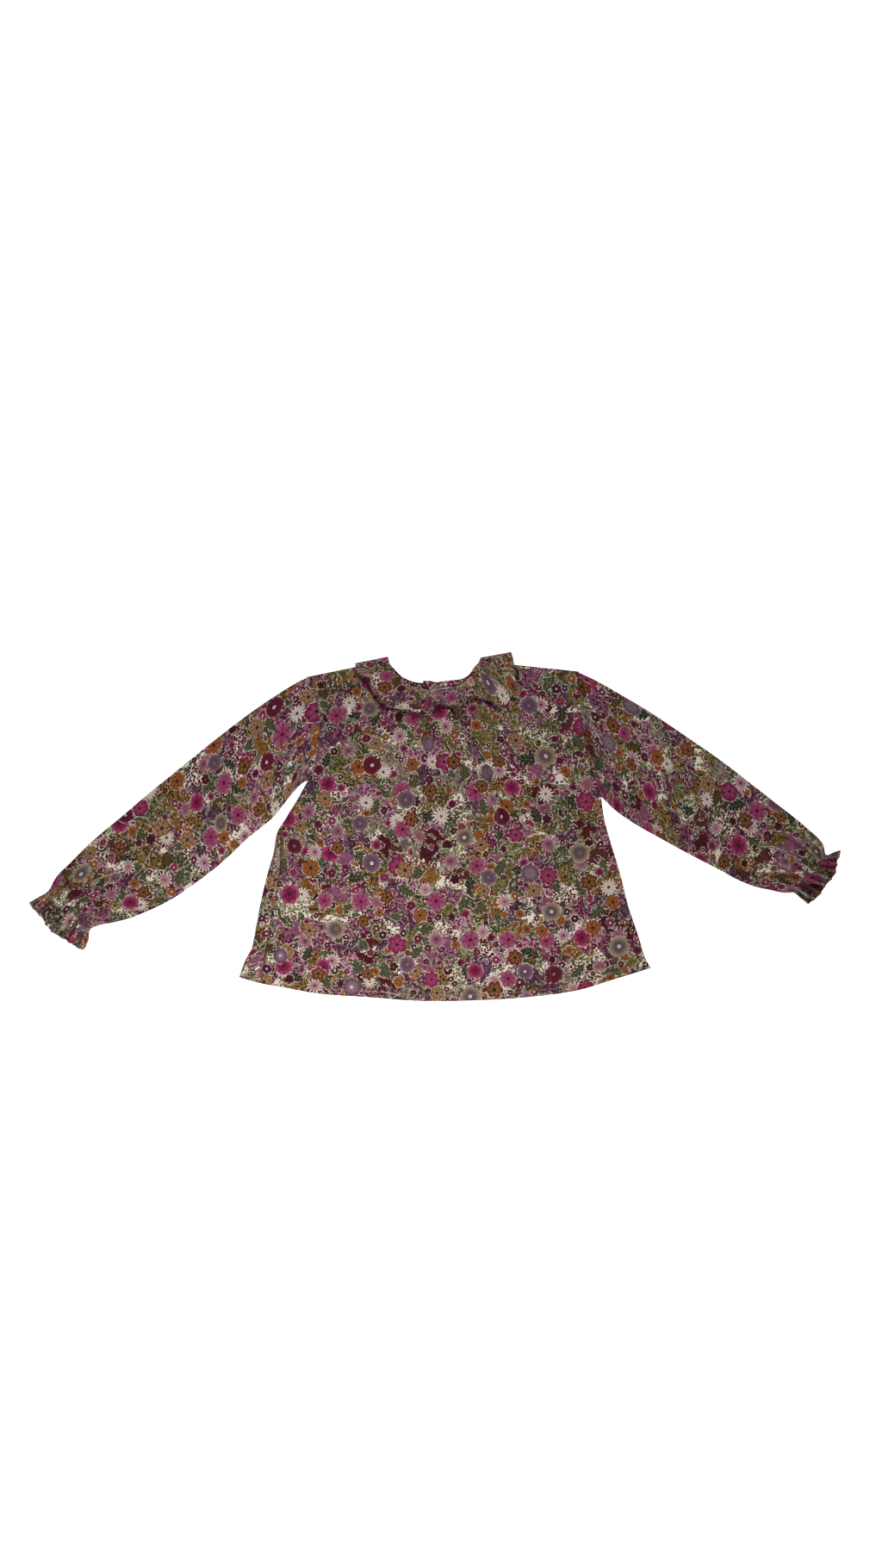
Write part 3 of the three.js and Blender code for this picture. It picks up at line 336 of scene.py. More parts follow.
# Creases: points of the line, rise, half width left and right of its run,
# and the share of its length over which it fades in and out
FRONT_CREASES = [
    # The flat pleat at the centre: its long slanted edge, then its short upright one
    ([(19, 142), (36, 104.5), (51, 74.5), (69, 34.5), (83, -2.5), (92, -34)], -8.6, 6.3, 5.4, 0.01, 0.45),
    ([(19, 142), (36, 104.5), (51, 74.5), (69, 34.5), (83, -2.5), (95, -44)], -1.6, 17, 14, 0.02, 0.6),
    ([(10, 138), (26, 100), (41, 66), (58, 26), (70, -10)], 1.3, 9, 14, 0.03, 0.6),
    ([(-11, 140), (-12, 118), (-12.5, 98), (-14, 76)], -4.2, 4, 5, 0.02, 0.6),
    ([(0, 138), (2, 110), (6, 86)], 1.1, 6, 5, 0.05, 0.6),
    # Gathers under the collar
    ([(12, 138), (20, 108), (29, 78)], -1.1, 3, 3, 0.05, 0.6),
    ([(-24, 136), (-29, 104), (-33, 66), (-36, 20)], -1.8, 4, 6, 0.03, 0.7),
    ([(-17, 136), (-20, 104), (-22, 70)], 1.0, 5, 6, 0.03, 0.7),
    ([(-41, 138), (-50, 112), (-60, 74)], -1.5, 3.5, 5, 0.03, 0.7),
    ([(-57, 148), (-72, 120), (-92, 78), (-104, 40)], -2.0, 4, 6, 0.03, 0.7),
    ([(-50, 144), (-64, 112), (-80, 76)], 1.1, 5, 6, 0.03, 0.7),
    ([(-70, 160), (-92, 142), (-112, 116)], -1.4, 3.5, 5, 0.03, 0.7),
    ([(44, 142), (58, 116), (74, 82)], -1.5, 3.5, 5, 0.03, 0.7),
    ([(62, 142), (80, 112), (106, 66), (126, 26)], -2.0, 4, 6, 0.03, 0.7),
    ([(54, 142), (68, 114), (90, 70)], 1.1, 6, 5, 0.03, 0.7),
    ([(84, 142), (108, 116), (134, 90)], -1.4, 3.5, 5, 0.03, 0.7),
    ([(94, 160), (122, 142), (146, 122)], -1.2, 3.5, 5, 0.03, 0.7),
    ([(104, 176), (112, 166), (128, 152)], -1.2, 3, 4, 0.1, 0.5),
    # Drags from the armholes and folds of the sides
    ([(-141, 62), (-152, 34), (-163, 4), (-172, -34), (-178, -70)], -2.6, 6, 6, 0.05, 0.5),
    ([(-128, 70), (-139, 30), (-148, -14), (-154, -60)], 1.6, 7, 8, 0.2, 0.6),
    ([(-118, 96), (-124, 60), (-128, 20)], -1.2, 5, 7, 0.2, 0.6),
    ([(184, 88), (183, 70), (187, 52), (193, 34)], -1.6, 4, 5, 0.1, 0.3),
    ([(186, 62), (184, 30), (186, -10), (192, -50)], -2.0, 6, 5, 0.08, 0.6),
    ([(166, 58), (160, 16), (158, -30)], 1.3, 8, 8, 0.2, 0.6),
    ([(156, 100), (148, 64), (142, 24)], -1.2, 6, 5, 0.2, 0.6),
    ([(146, 121), (158, 115), (169, 107)], -2.8, 3, 3, 0.3, 0.05),
    ([(167, 104), (169.5, 90), (173, 74)], -3.6, 3, 3.5, 0.1, 0.2),
    ([(-147, 90), (-141, 72), (-130, 58), (-122, 40)], -2.8, 3, 3, 0.05, 0.5),
    # Soft waves that rise from the hem
    ([(-190, -176), (-176, -120), (-168, -70)], 1.6, 8, 10, 0.1, 0.6),
    ([(-150, -190), (-144, -140), (-136, -84)], -1.5, 8, 9, 0.05, 0.7),
    ([(-120, -192), (-116, -140), (-110, -84)], 1.5, 9, 11, 0.05, 0.7),
    ([(-30, -198), (-28, -150), (-22, -96)], 1.4, 10, 10, 0.05, 0.7),
    ([(4, -200), (4, -154), (2, -100)], -1.4, 9, 9, 0.05, 0.7),
    ([(38, -198), (34, -150), (26, -92)], 1.3, 10, 8, 0.05, 0.7),
    ([(112, -194), (100, -138), (88, -84)], 1.5, 10, 10, 0.05, 0.7),
    ([(150, -190), (134, -132), (118, -78)], -1.4, 9, 9, 0.05, 0.7),
    ([(196, -178), (176, -120), (158, -60)], 1.5, 10, 10, 0.05, 0.7),
    ([(-60, 30), (-40, -20), (-34, -80)], -1.5, 11, 11, 0.3, 0.4),
    ([(-84, -10), (-74, -60), (-70, -110)], 1.1, 12, 12, 0.3, 0.4),
    ([(96, 40), (120, -20), (140, -84)], -1.5, 11, 11, 0.3, 0.4),
    ([(10, 30), (16, -20), (30, -70)], -1.2, 12, 10, 0.3, 0.4),
    ([(-186, -180.5), (-177, -183.5), (-167, -185.5)], -1.6, 2.2, 2.2, 0.2, 0.3),
]
SLEEVE_LEFT_CREASES = [
    ([(-146, 96), (-157, 76), (-166, 60), (-172, 34)], -2.6, 4, 6, 0.05, 0.35),
    ([(-150, 70), (-160, 52), (-172, 26)], 1.4, 4, 6, 0.05, 0.4),
    ([(-140, 118), (-168, 96), (-204, 66)], 0.8, 6, 10, 0.05, 0.6),
    ([(-146, 160), (-176, 136), (-214, 104)], 0.5, 7, 9, 0.05, 0.6),
    ([(-142, 140), (-160, 126), (-184, 108)], 0.45, 4, 5, 0.05, 0.6),
    ([(-230, 60), (-276, 12), (-322, -40)], 0.6, 12, 12, 0.3, 0.4),
    ([(-300, 60), (-346, 20), (-388, -20)], 0.55, 10, 9, 0.3, 0.3),
    ([(-418, -50), (-430, -64.5), (-440.5, -75.5), (-448, -81), (-456, -98)], -3.0, 3.5, 3, 0.3, 0.1),
    ([(-414, -84), (-424, -96), (-429.5, -104), (-434, -113)], -2.6, 3, 4, 0.3, 0.2),
    ([(-372, -24), (-396, -48), (-414, -66)], -1.5, 5, 5, 0.3, 0.3),
    ([(-352, -40), (-376, -66), (-396, -86)], 1.0, 6, 6, 0.3, 0.3),
]
SLEEVE_RIGHT_CREASES = [
    ([(167, 174), (171, 140), (178, 100), (188, 64), (193, 46)], -1.6, 4, 5, 0.05, 0.1),
    ([(168, 130), (180, 133), (200, 134), (227, 132), (250, 131)], -3.8, 3.2, 4.5, 0.03, 0.5),
    ([(170, 118), (176, 110), (184, 101), (192, 92)], -4.2, 3.5, 4, 0.05, 0.3),
    ([(172, 118), (206, 122), (244, 118)], 1.2, 6, 8, 0.1, 0.5),
    ([(186, 92), (186, 70), (190, 54), (194, 38)], -2.4, 4, 5, 0.05, 0.2),
    ([(175, 160), (186, 156), (204, 146)], -1.2, 3, 4, 0.1, 0.6),
    ([(173, 148), (190, 144), (212, 136)], 0.9, 4, 4, 0.1, 0.6),
    ([(182, 96), (200, 70), (214, 40)], 0.7, 6, 10, 0.1, 0.6),
    ([(176, 160), (206, 140), (246, 116)], 0.45, 6, 8, 0.05, 0.6),
    ([(250, 84), (300, 34), (350, -14)], 0.6, 12, 12, 0.3, 0.4),
    ([(368, 26), (399, -1), (417, -9.7), (426, -18), (432.5, -24), (444, -40)], -2.2, 5, 4, 0.3, 0.15),
    ([(376, -44), (393.5, -52.5), (405.5, -57), (417, -61), (426, -62)], -2.2, 4, 4, 0.3, 0.2),
    ([(352, 8), (384, -16), (410, -34)], 1.0, 6, 6, 0.3, 0.3),
]

# The flat pleat's edges, from the collar down
PLEAT_LEFT = [(140, -8.0), (118, -9.0), (98, -9.5), (70, -11.0)]
PLEAT_RIGHT = [(142, 16.5), (104.5, 33.5), (74.5, 48.5), (34.5, 66.5), (-2.5, 80.5), (-44, 93.0)]

# Cloth that the pleat's two folds take up, so that the print jumps there: line from the neck down,
# how much at the top, which side moves
PLEAT_TUCKS = [
    ([(2, 182), (12, 158), (19, 142), (36, 104.5), (51, 74.5), (69, 34.5), (83, -2.5), (92, -34)], 11.0, 1),
    ([(-10, 182), (-11, 140), (-12, 118), (-12.5, 98), (-14, 76), (-16, 30)], 6.0, -1),
]
TUCK_HALF = 4.5

# How fine the meshes are; columns run round armhole, side, hem, side and armhole
FRONT_COLUMNS = (44, 50, 196, 46, 44)
BACK_COLUMNS = (30, 60, 110, 36, 30)
FRONT_ROWS = 114
BACK_ROWS = 70
SLEEVE_BODY_ROWS = 104
SLEEVE_CUFF_ROWS = 85
SLEEVE_UPPER = 130
SLEEVE_LOWER = 50
COLLAR_STEPS = 24
COLLAR_ACROSS = 24


# Numbers and lines
def smooth(t):
    c = np.clip(t, 0.0, 1.0)
    return c * c * (3 - 2 * c)


def spline(rows, at):
    """Points of a centripetal Catmull-Rom curve through the rows, at shares 0 to 1 of its rows."""
    rows = np.asarray(rows, float)
    last = len(rows) - 1
    place = np.clip(np.asarray(at, float), 0, 1) * last
    i = np.minimum(place.astype(int), last - 1)
    w = (place - i)[:, None]
    padded = np.vstack([2 * rows[0] - rows[1], rows, 2 * rows[-1] - rows[-2]])
    p0, p1, p2, p3 = padded[i], padded[i + 1], padded[i + 2], padded[i + 3]

    def knot(a, b):
        return np.maximum(np.sqrt(np.linalg.norm(b - a, axis=1)), 1e-4)[:, None]

    d0, d1, d2 = knot(p0, p1), knot(p1, p2), knot(p2, p3)
    t1 = ((p1 - p0) / d0 - (p2 - p0) / (d0 + d1) + (p2 - p1) / d1) * d1
    t2 = ((p2 - p1) / d1 - (p3 - p1) / (d1 + d2) + (p3 - p2) / d2) * d1
    return p1 + w * t1 + w**2 * (3 * p2 - 3 * p1 - 2 * t1 - t2) + w**3 * (2 * p1 - 2 * p2 + t1 + t2)


def uneven_ripple(at, pitch, wander, wander_pitch, level, change, change_pitch, phase=0.0):
    """A ripple whose pitch and height both change along it; pitches are mm for each radian."""
    height = level + change * np.sin(at / change_pitch + phase)
    return np.sin(at / pitch + wander * np.sin(at / wander_pitch)) * height


def lengths_along(points):
    steps = np.linalg.norm(np.diff(points, axis=0), axis=1)
    return np.concatenate([[0.0], np.cumsum(steps)])


def at_shares(rows, shares):
    """Points of the curve at shares of its length."""
    dense = spline(rows, np.linspace(0, 1, 40 * len(rows)))
    along = lengths_along(dense)
    want = np.asarray(shares, float) * along[-1]
    return np.stack([np.interp(want, along, dense[:, k]) for k in range(dense.shape[1])], axis=1)


def evenly(rows, count):
    return at_shares(rows, np.linspace(0, 1, count + 1))


def line_field(x, y, line):
    """Distance to a line, which side of it (+ is left of its run), and the share along it."""
    best = np.full(x.shape, np.inf)
    side = np.ones(x.shape)
    share = np.zeros(x.shape)
    along = lengths_along(line)
    for k in range(len(line) - 1):
        ax, ay = line[k]
        dx, dy = line[k + 1] - line[k]
        squared = dx * dx + dy * dy
        if squared == 0:
            continue
        t = np.clip(((x - ax) * dx + (y - ay) * dy) / squared, 0, 1)
        far = np.hypot(x - ax - dx * t, y - ay - dy * t)
        nearer = far < best
        best = np.where(nearer, far, best)
        side = np.where(nearer, np.sign(dx * (y - ay) - dy * (x - ax)), side)
        share = np.where(nearer, (along[k] + t * np.sqrt(squared)) / along[-1], share)
    return best, side, share


def distance_to(x, y, line):
    return line_field(x, y, line)[0]


def broad_folds(folds, x, y):
    total = np.zeros(x.shape)
    for x0, y0, x1, y1, wide0, wide1, rise0, rise1 in folds:
        dx, dy = x1 - x0, y1 - y0
        length = math.hypot(dx, dy)
        along = ((x - x0) * dx + (y - y0) * dy) / length**2
        aside = np.abs((x - x0) * dy - (y - y0) * dx) / length
        t = np.clip(along, 0, 1)
        reach = np.hypot(aside, np.abs(along - t) * length) / (wide0 + (wide1 - wide0) * t)
        total += (rise0 + (rise1 - rise0) * t) * smooth(1 - reach)
    return total


def crease_height(creases, x, y):
    total = np.zeros(x.shape)
    for points, rise, wide_left, wide_right, fade_in, fade_out in creases:
        line = evenly(points, 10 * len(points))
        far, side, share = line_field(x, y, line)
        wide = np.where(side > 0, wide_left, wide_right)
        ends = smooth(share / fade_in) * smooth((1 - share) / fade_out)
        near = np.clip(1 - far / wide, 0, 1)
        total += rise * ends * (smooth(near) if rise > 0 else near**1.5)
    return total


def pleat_rise(x, y):
    """The strip of cloth that the flat pleat lays over its neighbours."""
    left = x - np.interp(-y, [-row[0] for row in PLEAT_LEFT], [row[1] for row in PLEAT_LEFT])
    right = np.interp(-y, [-row[0] for row in PLEAT_RIGHT], [row[1] for row in PLEAT_RIGHT]) - x
    wide_left = PLEAT_SLOPE + 0.35 * np.maximum(0, 130 - y)
    wide_right = PLEAT_SLOPE + 0.3 * np.maximum(0, 10 - y)
    return PLEAT_RISE * smooth(left / wide_left) * smooth(right / wide_right) * smooth((y + 60) / 180)


def tucked(xy):
    """Places on the flat cut of points of the front."""
    placed = xy.copy()
    for points, taken, moves in PLEAT_TUCKS:
        line = evenly(points, 10 * len(points))
        far, side, share = line_field(xy[..., 0], xy[..., 1], line)
        across = smooth((far * side * moves + TUCK_HALF) / (2 * TUCK_HALF))
        amount = taken * smooth((1 - share) * 1.2) * across
        placed[..., 0] += moves * amount
    return placed


# Heights of the body's layers, as the solids have them
neck_back_line = evenly(NECK_BACK, 40)
front_edge_line = np.vstack([
    evenly(SHOULDER_LEFT, 24), evenly(ARMHOLE_LEFT, 24), evenly(SIDE_LEFT_FRONT, 24),
    evenly(HEM_FRONT, 24), evenly(SIDE_RIGHT, 24), evenly(ARMHOLE_RIGHT, 24),
    evenly(SHOULDER_RIGHT[::-1], 24),
])
hem_line = evenly(HEM_FRONT, 60)
ruffle_edge_line = evenly([row[2:4] for row in COLLAR_SECTIONS[8:28]], 160)
hem_back_line = evenly(HEM_BACK, 60)


def back_bottom(x, y):
    from_neck = distance_to(x, y, neck_back_line)
    return (COLLAR_UNDER_HEIGHT + SEAM_GAP) * smooth(1 - (from_neck - COLLAR_REACH) / COLLAR_EASE)


def loft(x, y):
    """How far the thin front stands above its solid: most in the middle, nothing at seams and neck."""
    from_edge = distance_to(x, y, front_edge_line)
    from_neck = distance_to(x, y, neck_back_line)
    at_left_armhole = smooth((-x - 50) / 60) * smooth((y - 30) / 40)
    reach = LOFT_REACH + LEFT_ARMHOLE_REACH * at_left_armhole
    return FRONT_LOFT * smooth(from_edge / reach) * smooth((from_neck - NECK_FLAT) / NECK_EASE)


def front_top(x, y):
    from_edge = distance_to(x, y, front_edge_line)
    from_neck = distance_to(x, y, neck_back_line)
    inside = smooth(from_edge / FULLNESS_REACH)
    at_neck = NECK_STACK * smooth(1 - from_neck / COLLAR_REACH)
    folds = broad_folds(FRONT_FOLDS, x, y) * smooth(from_edge / HEM_WIDTH)
    full = np.maximum(0, FRONT_FULLNESS * inside + folds * (FOLD_AT_SEAM + (1 - FOLD_AT_SEAM) * inside))
    hem = HEM_EXTRA * smooth((HEM_WIDTH - distance_to(x, y, hem_line)) / HEM_STEP)
    return back_bottom(x, y) + 2 * SOLID_WALL + SEAM_GAP + np.maximum(at_neck, full) + hem


# Objects and meshes
def placed(name, data, location=(0, 0, 0), turn=(0, 0, 0)):
    thing = bpy.data.objects.new(name, data)
    thing.location = location
    thing.rotation_euler = turn
    bpy.context.scene.collection.objects.link(thing)
    return thing


def mesh_object(name, points, faces, uvs, materials, face_materials=None):
    """points in mm, faces as rows of 4 (or 3) indices, uvs per point in metres."""
    mesh = bpy.data.meshes.new(name)
    mesh.from_pydata((points * MM).tolist(), [], [list(map(int, f)) for f in faces])
    layer = mesh.uv_layers.new(name="flat_cut")
    loops = np.empty(len(mesh.loops), dtype=np.int64)
    mesh.loops.foreach_get("vertex_index", loops)
    layer.data.foreach_set("uv", uvs[loops].astype(np.float32).ravel())
    for material in materials:
        mesh.materials.append(material)
    if face_materials is not None:
        mesh.polygons.foreach_set("material_index", np.asarray(face_materials, dtype=np.int32))
    mesh.polygons.foreach_set("use_smooth", np.ones(len(mesh.polygons), dtype=bool))
    mesh.update()
    return placed(name, mesh)


def vertex_normals(points, faces):
    normals = np.zeros_like(points)
    a, b, c, d = (points[faces[:, k]] for k in range(4))
    face_normals = np.cross(c - a, d - b)
    for k in range(4):
        np.add.at(normals, faces[:, k], face_normals)
    length = np.linalg.norm(normals, axis=1)
    return normals / np.maximum(length, 1e-12)[:, None]


def shell(points, faces, uvs, thickness):
    """Closes a quad surface, whose normals point out, into thin cloth with an inner face and a rim."""
    count = len(points)
    inner = points - vertex_normals(points, faces) * thickness
    edges = np.concatenate([faces[:, [0, 1]], faces[:, [1, 2]], faces[:, [2, 3]], faces[:, [3, 0]]])
    keys = np.sort(edges, axis=1)
    order = keys[:, 0].astype(np.int64) * count + keys[:, 1]
    _, index, times = np.unique(order, return_index=True, return_counts=True)
    rim = edges[index[times == 1]]
    rim_faces = np.stack([rim[:, 1], rim[:, 0], rim[:, 0] + count, rim[:, 1] + count], axis=1)
    all_points = np.vstack([points, inner])
    all_faces = np.vstack([faces, faces[:, ::-1] + count, rim_faces])
    kinds = np.concatenate([
        np.zeros(len(faces), int), np.ones(len(faces), int), np.zeros(len(rim_faces), int),
    ])
    return all_points, all_faces, np.vstack([uvs, uvs]), kinds


def grid_faces(index):
    """Quads of a grid of point numbers; -1 marks a place with no point."""
    quads = np.stack([index[:-1, :-1], index[1:, :-1], index[1:, 1:], index[:-1, 1:]], axis=-1)
    quads = quads.reshape(-1, 4)
    return quads[(quads >= 0).all(axis=1)]


def ring_quads(rings, sides, first=0):
    """Quads between closed rings of points that follow each other."""
    quads = []
    for i in range(rings - 1):
        for k in range(sides):
            a, b = first + i * sides + k, first + i * sides + (k + 1) % sides
            quads.append((a, b, b + sides, a + sides))
    return quads


def away_from_neck(points, shares):
    tangent = np.gradient(points, axis=0)
    square = np.stack([tangent[:, 1], -tangent[:, 0]], axis=1)
    square /= np.linalg.norm(square, axis=1)[:, None]
    seam = np.where(shares[:, None] < 0.5,
                    np.subtract(SHOULDER_LEFT[1], SHOULDER_LEFT[0]),
                    np.subtract(SHOULDER_RIGHT[1], SHOULDER_RIGHT[0]))
    seam = seam / np.linalg.norm(seam, axis=1)[:, None]
    blend = smooth(np.minimum(shares, 1 - shares) / SHOULDER_BLEND)[:, None]
    mixed = seam * (1 - blend) + square * blend
    return mixed / np.linalg.norm(mixed, axis=1)[:, None]


def panel_columns(runs, counts, neck):
    """Inner and outer end of each column, from the neck to the outer edge."""
    outer = [evenly(rows, count)[(1 if k else 0):] for k, (rows, count) in enumerate(zip(runs, counts))]
    outer = np.vstack(outer)
    angle = np.arctan2(outer[:, 1] - NECK_CENTRE[1], outer[:, 0] - NECK_CENTRE[0])
    angle = np.where(angle > math.pi / 2, angle - 2 * math.pi, angle)
    shares = np.clip((angle - angle[0]) / (angle[-1] - angle[0]), 0, 1)
    fine = np.linspace(0, 1, 1001)
    neck_points = at_shares(neck, fine)
    away = away_from_neck(neck_points, fine)
    offset = neck_points + away * (BINDING_WIDTH + SEAM_GAP * 0.5)
    inner = np.stack([np.interp(shares, fine, offset[:, k]) for k in range(2)], axis=1)
    return inner, outer


def turned_flap(edge, outward, inside, radius, depth, steps=5, leg=4):
    """Rows of points of cloth that turns over past its edge and runs back inside."""
    rows = []
    for k in range(1, steps + 1):
        angle = math.pi * k / steps
        rows.append(edge + outward * (radius * math.sin(angle)) + inside * (radius * (1 - math.cos(angle))))
    for k in range(1, leg + 1):
        rows.append(edge - outward * (depth * k / leg) + inside * (2 * radius))
    return rows


class Surface:
    """A quad surface put together from grids that may share points."""

    def __init__(self):
        self.points = []
        self.uvs = []
        self.quads = []
        self.count = 0

    def add_points(self, points, uvs):
        first = self.count
        self.points.append(points)
        self.uvs.append(uvs)
        self.count += len(points)
        return np.arange(first, self.count)

    def add_grid(self, points, uvs):
        rows, columns = points.shape[:2]
        index = self.add_points(points.reshape(-1, 3), uvs.reshape(-1, 2)).reshape(rows, columns)
        self.quads.append(grid_faces(index))
        return index

    def add_flap(self, first_row, rows, uv_rows):
        index = [first_row]
        for points, uvs in zip(rows, uv_rows):
            index.append(self.add_points(points, uvs))
        self.quads.append(grid_faces(np.array(index)))

    def turn_edge(self, first_row, edge, edge_uvs, outward, flap):
        """Rows of a flap past an edge, laid out flat beyond it on the cut."""
        travel = lengths_along(np.array([row[0] for row in [edge, *flap]]))[1:]
        self.add_flap(first_row, flap, [edge_uvs + outward * t * MM for t in travel])

    def finish(self, thickness, flip=False):
        points = np.vstack(self.points)
        faces = np.vstack(self.quads)
        if flip:
            faces = faces[:, ::-1]
        return shell(points, faces, np.vstack(self.uvs), thickness)


def with_height(xy, z):
    return np.concatenate([xy, z[..., None]], axis=-1)


def unit(v):
    return v / np.linalg.norm(v, axis=-1)[..., None]


def flat(v):
    return np.concatenate([v, np.zeros(v.shape[:-1] + (1,))], axis=-1)


def quarter(t):
    """0 to 1 along a quarter circle, steep at first."""
    c = 1 - np.clip(t, 0, 1)
    return np.sqrt(1 - c * c)


UP = np.array([0.0, 0.0, 1.0])


# Front
armhole_left_line = evenly(ARMHOLE_LEFT, 40)
armhole_right_line = evenly(ARMHOLE_RIGHT, 40)
side_left_line = evenly(SIDE_LEFT_FRONT, 60)
side_right_line = evenly(SIDE_RIGHT, 50)
shoulder_lines = [evenly(SHOULDER_LEFT, 24), evenly(SHOULDER_RIGHT, 24)]


def nearest(x, y, lines):
    far = distance_to(x, y, lines[0])
    for line in lines[1:]:
        far = np.minimum(far, distance_to(x, y, line))
    return far


def hem_puckers(x, y, from_hem):
    """Small slanted ripples between the hem's fold and its stitching."""
    slant = x + HEM_PUCKER_SLANT * y
    ripple = uneven_ripple(slant, *HEM_PUCKER_PITCHES)
    return HEM_PUCKER * ripple * smooth(from_hem / 1.2) * smooth((11 - from_hem) / 6)


def front_height(x, y):
    """Top of the front's cloth."""
    z = front_top(x, y) + loft(x, y)
    from_seams = nearest(x, y, [armhole_left_line, armhole_right_line, side_left_line, side_right_line])
    from_seams = np.minimum(from_seams, nearest(x, y, shoulder_lines))
    z = z + (crease_height(FRONT_CREASES, x, y) + pleat_rise(x, y)) * smooth(from_seams / CREASE_FADE)
    from_bulk = np.abs(distance_to(x, y, side_left_line) - SEAM_BULK_FROM_EDGE)
    z = z + SEAM_BULK * smooth(1 - from_bulk / SEAM_BULK_HALF)
    low = back_bottom(x, y) + EDGE_LOW
    turned = nearest(x, y, [side_left_line, side_right_line, *shoulder_lines])
    z = low + (z - low) * quarter(turned / EDGE_TURN)
    z = z - LEFT_SEAM_DIP * smooth(1 - distance_to(x, y, armhole_left_line) / SEAM_DIP_REACH)
    z = z - SEAM_DIP * smooth(1 - distance_to(x, y, armhole_right_line) / SEAM_DIP_REACH)
    z = z - RUFFLE_PRESS * smooth(1 - distance_to(x, y, ruffle_edge_line) / RUFFLE_PRESS_REACH)
    z = np.maximum(z, low)
    from_hem = distance_to(x, y, hem_line)
    z = z + hem_puckers(x, y, from_hem)
    return z - HEM_GROOVE * smooth(1 - np.abs(from_hem - HEM_STITCH) / HEM_GROOVE_HALF)


def front_surface():
    runs = (ARMHOLE_LEFT, SIDE_LEFT_FRONT, HEM_FRONT, SIDE_RIGHT, ARMHOLE_RIGHT)
    inner, outer = panel_columns(runs, FRONT_COLUMNS, NECK_FRONT)
    first = FRONT_COLUMNS[0] + FRONT_COLUMNS[1]
    hem = slice(first, first + FRONT_COLUMNS[2] + 1)
    outward = unit(outer - inner)
    outer = outer.copy()
    outer[hem] -= outward[hem] * HEM_TURN_RADIUS
    rows = np.linspace(0, 1, FRONT_ROWS + 1)
    xy = inner[None] + (outer - inner)[None] * rows[:, None, None]
    z = front_height(xy[..., 0], xy[..., 1])
    surface = Surface()
    uvs = tucked(xy) * MM
    index = surface.add_grid(with_height(xy, z), uvs)
    edge = with_height(xy[-1, hem], z[-1, hem])
    flap = turned_flap(edge, flat(outward[hem]), -UP, HEM_TURN_RADIUS, HEM_TURN_DEPTH)
    surface.turn_edge(index[-1, hem], edge, uvs[-1, hem], outward[hem], flap)
    last = len(outer) - 1
    for part in (slice(0, FRONT_COLUMNS[0] + 1), slice(last - FRONT_COLUMNS[4], last + 1)):
        edge = with_height(xy[-1, part], z[-1, part])
        flap = allowance(edge, flat(outward[part]), -UP, FRONT_ALLOWANCE)
        surface.turn_edge(index[-1, part], edge, uvs[-1, part], outward[part], flap)
    return surface.finish(CLOTH)


def allowance(edge, outward, inside, steps):
    """Rows of points of a seam allowance that turns in at the seam and lies under the next piece."""
    return [edge + outward * out + inside * depth for out, depth in steps]


